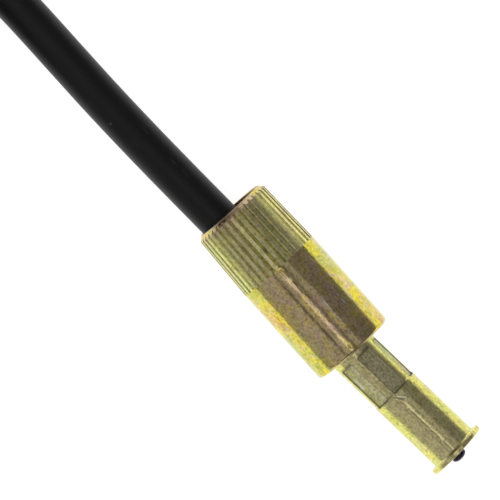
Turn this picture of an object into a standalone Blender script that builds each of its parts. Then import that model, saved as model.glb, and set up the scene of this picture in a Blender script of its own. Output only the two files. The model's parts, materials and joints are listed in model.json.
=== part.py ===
"""A flexible drive cable of the speedometer kind, lying on a bench with its spare length coiled.

Run it with: blender --background --python part.py

The instrument end lies along X and points to +X. Its loose coupling nut has slid back off the
ferrule and lies a few degrees askew. The cable leaves the nut towards -X, goes once round and
round into a tied coil, and ends in the gearbox fitting, which lies beside the coil.

The origin is on the bench, under the middle of the instrument end. Sizes here are millimetres,
and each mesh is brought to metres when it is made.
"""

import math

import bmesh
import bpy
from mathutils import Matrix, Vector
from mathutils.geometry import interpolate_bezier

MM = 0.001
ROUND_SIDES = 42
SMALL_SIDES = 24
ARC_STEPS = 3

# Clearances
GAP = 0.3  # between pieces that butt or rest on each other
FIT = 0.25  # between pieces that sit inside each other
RUN = 0.2  # left at the end of a sliding piece's travel

# Cable casing, from the outside in
CORD_R = 3.53
SHEATH_WALL = CORD_R * 0.1  # the part of the sheath that is pressed into a ferrule
CONDUIT_WALL = CORD_R * 0.1
LINER_WALL = CORD_R * 0.07
LAYER_GAP = CORD_R * 0.07  # between one layer and the next

# Ferrule of the instrument end; x runs back from the flange's front face
FERRULE_LENGTH = 26.5
FERRULE_WALL = 0.76
FERRULE_BORE_R = CORD_R + 0.07
FERRULE_R = FERRULE_BORE_R + FERRULE_WALL
FLANGE_LIP = 1.04  # how far the flange stands out of the tube
FLANGE_R = FERRULE_R + FLANGE_LIP
FLANGE_THICK = 0.8
FLANGE_EDGE = 0.18
FLANGE_FILLET = 0.5
CRIMP_FRONT = 14.6
CRIMP_LENGTH = 8.6
CRIMP_COUNT = 6
CRIMP_WIDTH = 2.8
CRIMP_DEPTH = 0.4
CRIMP_TURN = math.radians(-14.8)  # the first panel, measured from straight up
SQUEEZE = 0.13  # how much the press narrowed the tube round the panels
SQUEEZE_RUN = 0.3
REAR_TAPER = 0.28
REAR_TAPER_RUN = 1.5

# Core and what carries it inside a ferrule
CORE_R = CORD_R * 0.3825
CORE_SAG = 0.35  # the core lies this far towards -Y in its bush
CORE_FLOAT = 1.5  # how far the core may move each way along its axis
BUSH_INSET = 0.5
BUSH_LENGTH = 7.0
TIP_PROUD = 1.35
DOME_HEIGHT = 0.55  # of the nub's dome, as a share of its radius
COLLAR_LENGTH = 2.0
COLLAR_WALL = 0.85
COLLAR_EDGE = 0.2
WASHER_THICK = 0.6
WASHER_R = FERRULE_BORE_R - CORE_SAG - FIT
SHEATH_STRIP = 1.0  # the sheath is cut back this far from the end of the conduit

BUSH_BACK = -BUSH_INSET - BUSH_LENGTH
COLLAR_FRONT = BUSH_BACK - CORE_FLOAT - RUN
COLLAR_BACK = COLLAR_FRONT - COLLAR_LENGTH
WASHER_BACK = COLLAR_BACK - RUN - WASHER_THICK
CASING_STOP = WASHER_BACK - CORE_FLOAT - RUN
TIP_BACK = COLLAR_FRONT + GAP * 2.0

# Coupling nut of the instrument end; x runs back from its front face
NUT_LENGTH = 31.2
NUT_CORNER = 0.65
THREAD_ROOM = 0.3  # between the flange and the crests of the nut's thread
THREAD_DEPTH = 6.5
THREAD_MOUTH = 0.6
WEB_THICK = 2.0
WEB_ROOM = 0.74  # between the ferrule and the hole in the nut's web
SKIRT_ROOM = 2.42  # between the cable and the nut's rear bore
NUT_WALL = 1.55
KNURL_START = 18.85
KNURL_FALL = 0.4
KNURL_COUNT = 36
KNURL_DEPTH = 0.45
KNURL_OPEN = 0.56  # share of the pitch that a groove takes at its mouth
REAR_CHAMFER = 0.85
REAR_RIM = 0.35
NUT_OVERLAP = 2.1  # how far the nut still covers the ferrule where it lies
NUT_CROSSING = 4.4  # the nut's axis crosses the ferrule's this far ahead of the nut
NUT_DRIFT = 2.4045  # the nut's rear lies this far off the line of the ferrule
NUT_YAW = math.asin(NUT_DRIFT / NUT_LENGTH)
RING_WALL = 0.55  # the washer and the seal inside the nut
SEAL_THICK = 1.2
SEAL_EDGE = 0.15
TILT_ROOM = 0.75  # between pieces in the nut that stand at an angle to each other

THREAD_R = FLANGE_R + THREAD_ROOM
WEB_HOLE_R = FERRULE_R + WEB_ROOM
SKIRT_R = CORD_R + SKIRT_ROOM
NUT_R = SKIRT_R + NUT_WALL
AXIS_HEIGHT = NUT_R

# Fitting of the gearbox end; x runs back from its flange's front face
GEAR_FERRULE_LENGTH = 26.0
GEAR_FLANGE_LIP = 1.54
GEAR_FLANGE_THICK = 1.2
SPIGOT_LENGTH = 5.0
SPIGOT_LIP = 0.24  # the spigot is this much thicker than the ferrule's tube
GROOVE_FRONT = 3.2
GROOVE_WIDTH = 2.0
GROOVE_DEPTH = 0.5
RING_SECTION_R = 0.45
RING_SECTION_SIDES = 8
GEAR_NUT_LENGTH = 16.0
GEAR_THREAD_DEPTH = 7.0
GEAR_THREAD_ROOM = 0.25
GEAR_WEB_THICK = 2.0
GEAR_WEB_ROOM = 0.5
GEAR_SKIRT_ROOM = 1.3
GEAR_KNURL_START = 3.5
GEAR_KNURL_COUNT = 30
DRIVE_WIDTH = 2.5  # across the flats of the square drive
DRIVE_CORNER_R = DRIVE_WIDTH / math.sqrt(2.0)
DRIVE_PROUD = 12.0
DRIVE_CHAMFER = 0.4

# Where the gearbox fitting and the coil lie, from the flange's front face
GEAR_FACE_X = -64.0
GEAR_AXIS_Y = -71.9
COIL_X = -134.2
COIL_Y = -35.5
COIL_MEAN_R = 35.3
ENTRY_DROP = 0.9  # the cable comes in this far below the upper turns' middle, less its radius
TAIL_DROP = 0.25  # and goes out this far below the bundle's middle
TAIL_INSET = 0.5  # and this far inside its outer turn
ROUTE_CLEAR = 1.0  # a route point nearer than this to the next piece of line is left out
LINE_SPACING = 4.0  # of a tube's rings, in cable radii
COIL_SIDES = 48
BUNDLE_SIDES = 12
TIE_WIDTH = 4.0
TIE_THICK = 0.8
TIE_ANGLES = (0.0, 180.0)

# Turns lie two wide and two high, so their centres are this far from the bundle's own
TURN_OFFSET = CORD_R * math.sqrt(2.0)
BUNDLE_R = TURN_OFFSET + CORD_R
COIL_HEIGHT = BUNDLE_R + GAP + TIE_THICK

# The cable's route, from the flange's front face: x, y, and how high it lies above the bench
SHEATH_ROUTE = [
    (-35.0, 0.05, AXIS_HEIGHT - CORD_R),
    (-45.0, 0.2, AXIS_HEIGHT - CORD_R),
    (-56.0, 0.5, AXIS_HEIGHT - CORD_R - 0.05),
    (-64.0, 0.75, 3.2),
    (-73.3, 1.1, 1.9),
    (-83.4, 1.63, 0.7),
    (-92.0, 2.25, 0.15),
    (-100.0, 2.85, 0.05),
    (-106.0, 3.2, 0.3),
]
TAIL_ROUTE = [
    (-103.5, -74.3, 5.3),
    (-98.5, -72.7, 4.4),
]


# ---------------------------------------------------------------- materials


def finish(name, colour, roughness, metallic):
    """A Principled material for one kind of surface."""
    made = bpy.data.materials.new(name)
    made.use_nodes = True
    shader = made.node_tree.nodes["Principled BSDF"]
    shader.inputs["Base Color"].default_value = (*colour, 1.0)
    shader.inputs["Roughness"].default_value = roughness
    shader.inputs["Metallic"].default_value = metallic
    made.diffuse_color = (*colour, 1.0)
    return made


def finishes():
    """Every finish on the object, by name."""
    return {
        "yellow_zinc": finish("yellow_zinc", (0.42, 0.37, 0.13), 0.34, 1.0),
        "steel": finish("steel", (0.55, 0.55, 0.53), 0.35, 1.0),
        "black_steel": finish("black_steel", (0.04, 0.035, 0.045), 0.4, 0.9),
        "brass": finish("brass", (0.62, 0.46, 0.2), 0.35, 1.0),
        "nylon": finish("nylon", (0.78, 0.76, 0.7), 0.5, 0.0),
        "rubber": finish("rubber", (0.03, 0.03, 0.03), 0.7, 0.0),
        "sheath": finish("sheath", (0.012, 0.012, 0.014), 0.42, 0.0),
    }


# ---------------------------------------------------------------- seats and shapes


def seat(name, place, yaw=0.0):
    """An empty that a group of pieces is placed on. Its X axis is the group's own axis."""
    made = bpy.data.objects.new(name, None)
    made.location = Vector(place) * MM
    made.rotation_euler = (0.0, 0.0, yaw)
    bpy.context.collection.objects.link(made)
    return made


def placed(name, shape, parent, material, shift=(0.0, 0.0, 0.0)):
    """A named object for this bmesh, in metres, on its seat."""
    bmesh.ops.recalc_face_normals(shape, faces=shape.faces)
    bmesh.ops.scale(shape, vec=(MM, MM, MM), verts=shape.verts)
    mesh = bpy.data.meshes.new(name)
    shape.to_mesh(mesh)
    shape.free()
    mesh.materials.append(material)
    mesh.shade_smooth()
    mesh.set_sharp_from_angle(angle=math.radians(30.0))
    made = bpy.data.objects.new(name, mesh)
    made.parent = parent
    made.location = Vector(shift) * MM
    bpy.context.collection.objects.link(made)
    return made


def spun(outline, sides):
    """The solid that a closed outline of (x, radius) points sweeps round the X axis."""
    shape = bmesh.new()
    points = [shape.verts.new((x, 0.0, radius)) for x, radius in outline]
    for here, ahead in zip(points, points[1:] + points[:1]):
        if here.co.z > 0.0 or ahead.co.z > 0.0:
            shape.edges.new((here, ahead))
    bmesh.ops.spin(
        shape,
        geom=shape.verts[:] + shape.edges[:],
        cent=(0.0, 0.0, 0.0),
        axis=(1.0, 0.0, 0.0),
        angle=math.tau,
        steps=sides,
        use_merge=True,
    )
    bmesh.ops.remove_doubles(shape, verts=shape.verts, dist=1e-4)
    return shape


def arc(centre_x, centre_r, radius, start, end, steps=ARC_STEPS):
    """Outline points along an arc, from one angle to another, in degrees from +x."""
    angles = [math.radians(start + (end - start) * i / steps) for i in range(steps + 1)]
    return [(centre_x + radius * math.cos(a), centre_r + radius * math.sin(a)) for a in angles]


def sleeve(front, back, bore_r, outer_r):
    """The outline of a plain tube."""
    return [(front, bore_r), (front, outer_r), (back, outer_r), (back, bore_r)]


def rounded_sleeve(front, back, bore_r, outer_r, edge):
    """The outline of a tube whose outer edges are chamfered."""
    return [
        (front, bore_r),
        (front, outer_r - edge),
        (front - edge, outer_r),
        (back + edge, outer_r),
        (back, outer_r - edge),
        (back, bore_r),
    ]


def cut(body, cutter):
    """Takes the cutter's volume out of the body, and keeps the cutter out of the render."""
    cutter.hide_render = True
    cutter.display_type = "WIRE"
    modifier = body.modifiers.new(cutter.name, "BOOLEAN")
    modifier.operation = "DIFFERENCE"
    modifier.solver = "EXACT"
    modifier.object = cutter


# ---------------------------------------------------------------- ferrules


def ferrule_front():
    """The outline of the instrument ferrule's flange, from its bore to the tube's rear."""
    fillet_x = -FLANGE_THICK - FLANGE_FILLET
    fillet_r = FERRULE_R + FLANGE_FILLET
    return [
        (0.0, FERRULE_BORE_R),
        (0.0, FLANGE_R - FLANGE_EDGE),
        (-FLANGE_EDGE, FLANGE_R),
        (FLANGE_EDGE - FLANGE_THICK, FLANGE_R),
        (-FLANGE_THICK, FLANGE_R - FLANGE_EDGE),
    ] + arc(fillet_x, fillet_r, FLANGE_FILLET, 0.0, -90.0)


def ferrule_rear(length):
    """The outline of a ferrule's crimped rear, which is a little narrower than its tube."""
    crimped_r = FERRULE_R - SQUEEZE
    return [
        (-CRIMP_FRONT, FERRULE_R),
        (-CRIMP_FRONT - SQUEEZE_RUN, crimped_r),
        (-length + REAR_TAPER_RUN, crimped_r),
        (-length, crimped_r - REAR_TAPER),
        (-length, FERRULE_BORE_R),
    ]


def crimp_cutter(name, parent, material):
    """One block for each pressed panel, standing round the ferrule."""
    floor_r = FERRULE_R - SQUEEZE - CRIMP_DEPTH
    height = FLANGE_R - floor_r
    middle = Vector((-CRIMP_FRONT - CRIMP_LENGTH / 2.0, 0.0, floor_r + height / 2.0))
    size = Matrix.Diagonal((CRIMP_LENGTH, CRIMP_WIDTH, height, 1.0))
    shape = bmesh.new()
    for i in range(CRIMP_COUNT):
        turn = Matrix.Rotation(CRIMP_TURN + math.tau * i / CRIMP_COUNT, 4, "X")
        bmesh.ops.create_cube(shape, size=1.0, matrix=turn @ Matrix.Translation(middle) @ size)
    return placed(name, shape, parent, material)


def instrument_ferrule(parent, looks):
    """The flanged steel tube that the dial end of the casing is pressed into."""
    outline = ferrule_front() + ferrule_rear(FERRULE_LENGTH)
    made = placed("ferrule", spun(outline, ROUND_SIDES), parent, looks["yellow_zinc"])
    cut(made, crimp_cutter("crimp_cutter", parent, looks["yellow_zinc"]))


def gear_ferrule(parent, looks):
    """The gearbox ferrule: a spigot with a sealing groove, a flange and a crimped tube."""
    spigot_r = FERRULE_R + SPIGOT_LIP
    flange_r = FERRULE_R + GEAR_FLANGE_LIP
    outline = [
        (SPIGOT_LENGTH, FERRULE_BORE_R),
        (SPIGOT_LENGTH, spigot_r - FLANGE_EDGE),
        (SPIGOT_LENGTH - FLANGE_EDGE, spigot_r),
        (GROOVE_FRONT, spigot_r),
        (GROOVE_FRONT, spigot_r - GROOVE_DEPTH),
        (GROOVE_FRONT - GROOVE_WIDTH, spigot_r - GROOVE_DEPTH),
        (GROOVE_FRONT - GROOVE_WIDTH, spigot_r),
        (0.0, spigot_r),
        (0.0, flange_r - FLANGE_EDGE),
        (-FLANGE_EDGE, flange_r),
        (FLANGE_EDGE - GEAR_FLANGE_THICK, flange_r),
        (-GEAR_FLANGE_THICK, flange_r - FLANGE_EDGE),
        (-GEAR_FLANGE_THICK, FERRULE_R),
    ] + ferrule_rear(GEAR_FERRULE_LENGTH)
    made = placed("gear_ferrule", spun(outline, ROUND_SIDES), parent, looks["yellow_zinc"])
    cut(made, crimp_cutter("gear_crimp_cutter", parent, looks["yellow_zinc"]))
    middle_x = GROOVE_FRONT - GROOVE_WIDTH / 2.0
    middle_r = spigot_r - GROOVE_DEPTH + RUN + RING_SECTION_R
    last = 360.0 * (1.0 - 1.0 / RING_SECTION_SIDES)
    ring = arc(middle_x, middle_r, RING_SECTION_R, 0.0, last, RING_SECTION_SIDES - 1)
    placed("gear_o_ring", spun(ring, SMALL_SIDES), parent, looks["rubber"])


# ---------------------------------------------------------------- what a ferrule holds


def casing_ends(prefix, parent, length, looks):
    """The cable's layers where they are pressed into a ferrule: sheath, conduit and liner."""
    back = -length + RUN
    sheath_r = FERRULE_BORE_R - FIT
    conduit_r = sheath_r - SHEATH_WALL - LAYER_GAP
    liner_r = conduit_r - CONDUIT_WALL - LAYER_GAP
    layers = [
        ("sheath_end", CASING_STOP - SHEATH_STRIP, sheath_r, SHEATH_WALL, "sheath"),
        ("conduit_end", CASING_STOP, conduit_r, CONDUIT_WALL, "steel"),
        ("liner_end", CASING_STOP, liner_r, LINER_WALL, "nylon"),
    ]
    for name, front, radius, wall, look in layers:
        outline = sleeve(front, back, radius - wall, radius)
        placed(prefix + name, spun(outline, SMALL_SIDES), parent, looks[look])


def core_set(prefix, parent, length, tip, looks):
    """The turning pieces: the tip in its bush, the wound core, the collar and its washer.

    The tip is given as its name, its outline, its radius and how many sides it has.
    """
    tip_name, tip_outline, tip_r, tip_sides = tip
    axis = (0.0, -CORE_SAG, 0.0)
    bore_r = tip_r + CORE_SAG + FIT
    bush = rounded_sleeve(-BUSH_INSET, BUSH_BACK, bore_r, FERRULE_BORE_R - FIT, FIT)
    placed(prefix + "core_bush", spun(bush, SMALL_SIDES), parent, looks["brass"])
    placed(tip_name, spun(tip_outline, tip_sides), parent, looks["black_steel"], axis)

    wound_front = TIP_BACK - GAP
    wound_back = -length + CORE_FLOAT + RUN
    wound = [(wound_front, 0.0), (wound_front, CORE_R), (wound_back, CORE_R), (wound_back, 0.0)]
    placed(prefix + "core_stub", spun(wound, SMALL_SIDES), parent, looks["steel"], axis)

    collar_r = CORE_R + RUN + COLLAR_WALL
    collar = rounded_sleeve(COLLAR_FRONT, COLLAR_BACK, CORE_R + RUN, collar_r, COLLAR_EDGE)
    placed(prefix + "core_collar", spun(collar, SMALL_SIDES), parent, looks["steel"], axis)
    washer = sleeve(COLLAR_BACK - RUN, WASHER_BACK, CORE_R + RUN, WASHER_R)
    placed(prefix + "core_washer", spun(washer, SMALL_SIDES), parent, looks["nylon"], axis)


def domed_tip():
    """The outline of the dial end's round, domed nub."""
    rim_x = TIP_PROUD - CORE_R * DOME_HEIGHT
    dome = [(rim_x + x * DOME_HEIGHT, r) for x, r in arc(0.0, 0.0, CORE_R, 90.0, 0.0)]
    dome[-1] = (TIP_PROUD, 0.0)
    return [(TIP_BACK, 0.0), (TIP_BACK, CORE_R)] + dome


def square_tip():
    """The outline of the gearbox end's square drive, as corner radii for a four-sided spin."""
    return [
        (TIP_BACK, 0.0),
        (TIP_BACK, DRIVE_CORNER_R),
        (DRIVE_PROUD - DRIVE_CHAMFER, DRIVE_CORNER_R),
        (DRIVE_PROUD, DRIVE_CORNER_R - DRIVE_CHAMFER),
        (DRIVE_PROUD, 0.0),
    ]


# ---------------------------------------------------------------- coupling nuts


def knurl_cutter(name, parent, material, start, end, count, front_r, rear_r):
    """Straight V grooves round a nut, whose sides go on past its crests by their own depth."""
    mouth = math.tau * front_r / count * KNURL_OPEN
    shape = bmesh.new()
    for i in range(count):
        turn = Matrix.Rotation(math.tau * i / count, 3, "X")
        rings = []
        for x, radius in ((-start, front_r), (-end, rear_r)):
            corners = [
                (x, 0.0, radius - KNURL_DEPTH),
                (x, mouth, radius + KNURL_DEPTH),
                (x, -mouth, radius + KNURL_DEPTH),
            ]
            rings.append([shape.verts.new(turn @ Vector(corner)) for corner in corners])
        front, rear = rings
        shape.faces.new(front)
        shape.faces.new(rear[::-1])
        for k in range(3):
            shape.faces.new((front[k], rear[k], rear[(k + 1) % 3], front[(k + 1) % 3]))
    return placed(name, shape, parent, material)


def coupling_nut(parent, looks):
    """The long nut: threaded mouth, web that pulls on the flange, roomy skirt and knurl."""
    rear_r = NUT_R - KNURL_FALL
    web_back = -THREAD_DEPTH - WEB_THICK
    outline = arc(-NUT_CORNER, NUT_R - NUT_CORNER, NUT_CORNER, 0.0, 90.0) + [
        (-KNURL_START, NUT_R),
        (-NUT_LENGTH + REAR_CHAMFER, rear_r),
        (-NUT_LENGTH, SKIRT_R + REAR_RIM),
        (-NUT_LENGTH, SKIRT_R),
        (web_back, SKIRT_R),
        (web_back, WEB_HOLE_R),
        (-THREAD_DEPTH, WEB_HOLE_R),
        (-THREAD_DEPTH, THREAD_R),
        (-THREAD_MOUTH, THREAD_R),
        (0.0, THREAD_R + THREAD_MOUTH),
    ]
    made = placed("coupling_nut", spun(outline, KNURL_COUNT * 2), parent, looks["yellow_zinc"])
    groove_end = NUT_LENGTH + REAR_CHAMFER
    end_r = rear_r - KNURL_FALL * REAR_CHAMFER * 2.0 / (NUT_LENGTH - REAR_CHAMFER - KNURL_START)
    sizes = (KNURL_START, groove_end, KNURL_COUNT, NUT_R, end_r)
    cut(made, knurl_cutter("knurl_cutter", parent, looks["yellow_zinc"], *sizes))


def nut_rings(carrier_parent, swivel_parent, looks):
    """The washer and the rubber seal that lie in the nut's skirt behind its web."""
    washer = sleeve(WASHER_THICK / 2.0, -WASHER_THICK / 2.0, WEB_HOLE_R, WEB_HOLE_R + RING_WALL)
    placed("nut_washer", spun(washer, SMALL_SIDES), carrier_parent, looks["steel"])
    front = -WASHER_THICK / 2.0 - TILT_ROOM
    seal = rounded_sleeve(front, front - SEAL_THICK, WEB_HOLE_R, WEB_HOLE_R + RING_WALL, SEAL_EDGE)
    placed("nut_seal", spun(seal, SMALL_SIDES), swivel_parent, looks["rubber"])


def gear_nut(parent, looks):
    """The gearbox end's shorter nut, drawn up against its flange, and its washer."""
    front = GEAR_THREAD_DEPTH - GEAR_FLANGE_THICK - GAP
    back = front - GEAR_NUT_LENGTH
    thread_r = FERRULE_R + GEAR_FLANGE_LIP + GEAR_THREAD_ROOM
    hole_r = FERRULE_R + GEAR_WEB_ROOM
    skirt_r = FERRULE_R + GEAR_SKIRT_ROOM
    web_front = front - GEAR_THREAD_DEPTH
    web_back = web_front - GEAR_WEB_THICK
    outline = arc(front - NUT_CORNER, NUT_R - NUT_CORNER, NUT_CORNER, 0.0, 90.0) + [
        (front - GEAR_KNURL_START, NUT_R),
        (back + REAR_CHAMFER, NUT_R - KNURL_FALL),
        (back, NUT_R - KNURL_FALL - REAR_CHAMFER),
        (back, skirt_r),
        (web_back, skirt_r),
        (web_back, hole_r),
        (web_front, hole_r),
        (web_front, thread_r),
        (front - THREAD_MOUTH, thread_r),
        (front, thread_r + THREAD_MOUTH),
    ]
    sides = GEAR_KNURL_COUNT * 2
    made = placed("gear_coupling_nut", spun(outline, sides), parent, looks["yellow_zinc"])
    span = (GEAR_KNURL_START - front, REAR_CHAMFER - back)
    sizes = (*span, GEAR_KNURL_COUNT, NUT_R, NUT_R - KNURL_FALL)
    cut(made, knurl_cutter("gear_knurl_cutter", parent, looks["yellow_zinc"], *sizes))
    washer = sleeve(web_back - GAP, web_back - GAP - WASHER_THICK, hole_r, hole_r + RING_WALL)
    placed("gear_nut_washer", spun(washer, SMALL_SIDES), parent, looks["steel"])


# ---------------------------------------------------------------- cable


def smooth_line(points, spacing):
    """Points about this far apart along a smooth curve through the given ones."""
    points = [Vector(p) for p in points]
    ahead = [points[1] - points[0]]
    ahead += [(c - a) * 0.5 for a, c in zip(points, points[2:])]
    ahead.append(points[-1] - points[-2])
    line = [points[0]]
    for i in range(len(points) - 1):
        start, end = points[i], points[i + 1]
        reach = (end - start).length / 3.0
        first = start + ahead[i].normalized() * reach
        last = end - ahead[i + 1].normalized() * reach
        steps = max(1, round((end - start).length / spacing))
        line += interpolate_bezier(start, first, last, end, steps + 1)[1:]
    return line


def cord_tube(name, points, origin, material):
    """A plain tube of the cable's outer size along these points."""
    line = smooth_line(points, CORD_R * LINE_SPACING)
    curve = bpy.data.curves.new(name, "CURVE")
    curve.dimensions = "3D"
    curve.bevel_depth = CORD_R * MM
    curve.bevel_resolution = 3
    curve.use_fill_caps = True
    curve.materials.append(material)
    spline = curve.splines.new("POLY")
    spline.points.add(len(line) - 1)
    for point, place in zip(spline.points, line):
        point.co = (*((place + Vector(origin)) * MM), 1.0)
    spline.use_smooth = True
    made = bpy.data.objects.new(name, curve)
    bpy.context.collection.objects.link(made)


def tangent_run(radius):
    """How far a tangent at this radius runs before a tube on it clears the coil's solid."""
    clear = COIL_MEAN_R + BUNDLE_R + CORD_R + GAP
    return math.sqrt(clear * clear - radius * radius)


def cable(origin, looks):
    """The cable in three plain solids: from the ferrule, the coil, and to the gearbox end."""
    start = -FERRULE_LENGTH - GAP
    route = [(start, 0.0, AXIS_HEIGHT), (start - CORD_R, 0.0, AXIS_HEIGHT)]
    for x, y, lift in SHEATH_ROUTE:
        if x < start - CORD_R * 2.0:
            route.append((x, y, CORD_R + lift))
    turn_r = COIL_MEAN_R + CORD_R
    entry_y = COIL_Y + turn_r
    entry_x = COIL_X + tangent_run(turn_r)
    route = [point for point in route if point[0] > entry_x + CORD_R / 2.0]
    route.append((entry_x, entry_y, COIL_HEIGHT - CORD_R - ENTRY_DROP))
    cord_tube("cable_sheath", route, origin, looks["sheath"])

    exit_r = COIL_MEAN_R + TURN_OFFSET
    exit_x = COIL_X + tangent_run(exit_r)
    end_x = GEAR_FACE_X - GEAR_FERRULE_LENGTH - GAP
    tail = [(exit_x, COIL_Y - exit_r + TAIL_INSET, COIL_HEIGHT - TAIL_DROP)]
    lead_x = end_x - CORD_R
    for x, y, lift in TAIL_ROUTE:
        if exit_x + ROUTE_CLEAR < x < lead_x - ROUTE_CLEAR:
            tail.append((x, y, CORD_R + lift))
    tail += [(lead_x, GEAR_AXIS_Y, AXIS_HEIGHT), (end_x, GEAR_AXIS_Y, AXIS_HEIGHT)]
    cord_tube("cable_tail", tail, origin, looks["sheath"])


def coil(origin, looks):
    """The coil's outer shape as a turned ring, and the two ties round its bundle."""
    x, y, _ = origin
    middle = seat("coil_axis", (x + COIL_X, y + COIL_Y, COIL_HEIGHT))
    last = 360.0 * (1.0 - 1.0 / BUNDLE_SIDES)
    bundle = arc(0.0, COIL_MEAN_R, BUNDLE_R, 0.0, last, BUNDLE_SIDES - 1)
    shape = spun(bundle, COIL_SIDES)
    bmesh.ops.rotate(shape, matrix=Matrix.Rotation(math.pi / 2.0, 3, "Y"), verts=shape.verts)
    placed("cable_coil", shape, middle, looks["sheath"])
    for number, degrees in enumerate(TIE_ANGLES, start=1):
        angle = math.radians(degrees)
        place = (COIL_MEAN_R * math.cos(angle), COIL_MEAN_R * math.sin(angle), 0.0)
        band = sleeve(TIE_WIDTH / 2.0, -TIE_WIDTH / 2.0, BUNDLE_R + GAP, BUNDLE_R + GAP + TIE_THICK)
        shape = spun(band, SMALL_SIDES)
        turn = Matrix.Rotation(angle + math.pi / 2.0, 3, "Z")
        bmesh.ops.rotate(shape, matrix=turn, verts=shape.verts)
        placed(f"coil_tie_{number}", shape, middle, looks["nylon"], place)


# ---------------------------------------------------------------- the whole object


def flange_place():
    """The flange's front centre, which puts the origin under the middle of the dial end."""
    setback = FERRULE_LENGTH - NUT_OVERLAP
    front_y = NUT_CROSSING * math.tan(NUT_YAW)
    sine, cosine = math.sin(NUT_YAW), math.cos(NUT_YAW)
    least_x = -setback - NUT_LENGTH * cosine - (SKIRT_R + REAR_RIM) * sine
    least_y = front_y + NUT_CORNER * sine - NUT_R * cosine
    most_y = front_y + (NUT_LENGTH - REAR_CHAMFER) * sine + (NUT_R - KNURL_FALL) * cosine
    return (-(least_x + TIP_PROUD) / 2.0, -(least_y + most_y) / 2.0, AXIS_HEIGHT)


def along_nut(origin, back):
    """The point on the nut's axis this far behind its front face."""
    setback = FERRULE_LENGTH - NUT_OVERLAP
    front_y = NUT_CROSSING * math.tan(NUT_YAW)
    x = origin[0] - setback - back * math.cos(NUT_YAW)
    y = origin[1] + front_y + back * math.sin(NUT_YAW)
    return (x, y, AXIS_HEIGHT)


def build():
    """Clears the scene and makes every piece."""
    for old in list(bpy.data.objects):
        bpy.data.objects.remove(old)
    looks = finishes()
    origin = flange_place()

    dial_axis = seat("dial_end_axis", origin)
    instrument_ferrule(dial_axis, looks)
    casing_ends("", dial_axis, FERRULE_LENGTH, looks)
    tip = ("core_tip", domed_tip(), CORE_R, SMALL_SIDES)
    core_set("", dial_axis, FERRULE_LENGTH, tip, looks)

    ring_back = THREAD_DEPTH + WEB_THICK + TILT_ROOM + WASHER_THICK / 2.0
    coupling_nut(seat("nut_axis", along_nut(origin, 0.0), -NUT_YAW), looks)
    carrier = seat("nut_carrier_axis", along_nut(origin, ring_back))
    swivel = seat("nut_swivel_axis", along_nut(origin, ring_back), -NUT_YAW)
    nut_rings(carrier, swivel, looks)

    shift = (origin[0], origin[1], 0.0)
    gear_place = (origin[0] + GEAR_FACE_X, origin[1] + GEAR_AXIS_Y, AXIS_HEIGHT)
    gear_axis = seat("gear_end_axis", gear_place)
    gear_ferrule(gear_axis, looks)
    casing_ends("gear_", gear_axis, GEAR_FERRULE_LENGTH, looks)
    tip = ("gear_drive_tip", square_tip(), DRIVE_CORNER_R, 4)
    core_set("gear_", gear_axis, GEAR_FERRULE_LENGTH, tip, looks)
    gear_nut(gear_axis, looks)

    cable(shift, looks)
    coil(shift, looks)


build()
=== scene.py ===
"""The looks of a flexible drive cable of the speedometer kind, lying on a pale bench.

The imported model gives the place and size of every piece. This script makes the fine surface of
each one round it: the plated coupling nut with its knurl and cut thread, the crimped ferrule,
the blackened core, the black sheathed cable in its coil, and the gearbox end.
Lengths are millimetres in each piece's own frame, and become metres when it is set in place.
"""

from __future__ import annotations

import json
import logging
import math
from collections.abc import Callable
from dataclasses import dataclass, field
from enum import Enum
from typing import Any

import bmesh
import bpy
from mathutils import Matrix, Quaternion, Vector

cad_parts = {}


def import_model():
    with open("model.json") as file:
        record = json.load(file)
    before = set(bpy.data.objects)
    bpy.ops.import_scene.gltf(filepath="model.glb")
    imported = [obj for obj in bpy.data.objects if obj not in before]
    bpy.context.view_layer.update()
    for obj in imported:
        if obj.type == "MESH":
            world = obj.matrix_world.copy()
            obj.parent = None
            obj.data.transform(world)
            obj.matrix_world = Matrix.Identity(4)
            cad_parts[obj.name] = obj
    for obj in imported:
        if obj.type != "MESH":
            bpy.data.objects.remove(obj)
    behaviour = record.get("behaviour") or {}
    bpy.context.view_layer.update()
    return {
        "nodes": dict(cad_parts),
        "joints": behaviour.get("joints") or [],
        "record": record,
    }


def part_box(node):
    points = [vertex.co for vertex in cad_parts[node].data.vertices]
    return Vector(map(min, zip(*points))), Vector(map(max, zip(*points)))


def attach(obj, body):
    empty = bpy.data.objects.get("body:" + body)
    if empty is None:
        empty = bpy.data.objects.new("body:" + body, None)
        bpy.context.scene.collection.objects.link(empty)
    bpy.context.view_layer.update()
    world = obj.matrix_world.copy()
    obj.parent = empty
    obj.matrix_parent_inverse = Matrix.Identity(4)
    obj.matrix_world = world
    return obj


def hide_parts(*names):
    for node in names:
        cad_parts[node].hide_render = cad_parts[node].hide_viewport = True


FRAME: dict[str, Any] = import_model()

LOG = logging.getLogger("drive_cable")
MM = 0.001
Colour = tuple[float, float, float]


class Slot(Enum):
    """The record's material slots."""

    ZINC = "yellow_zinc"
    STEEL = "steel"
    BLACK_STEEL = "black_steel"
    BRASS = "brass"
    NYLON = "nylon"
    RUBBER = "rubber"
    SHEATH = "sheath"


class Body(Enum):
    """The CAD bodies that pieces ride on."""

    CASING = "casing"
    NUT = "nut"
    CORE = "core"
    GEAR_NUT = "gear_nut"
    GEAR_CORE = "gear_core"


# ---- node sketches ----


def adds(operation: str, swapped: bool = False) -> Callable[..., Any]:
    """A method that adds a Math node to a reading's tree.

    Args:
        operation: the node's operation.
        swapped: whether the reading comes last.

    Returns:
        The method.
    """

    def method(self: Reading, *others: Any) -> Reading:
        """Adds the node, and reads its result."""
        values = (*others, self) if swapped else (self, *others)
        return self.sketch.read("ShaderNodeMath", dict(enumerate(values)), operation=operation)

    return method


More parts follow.
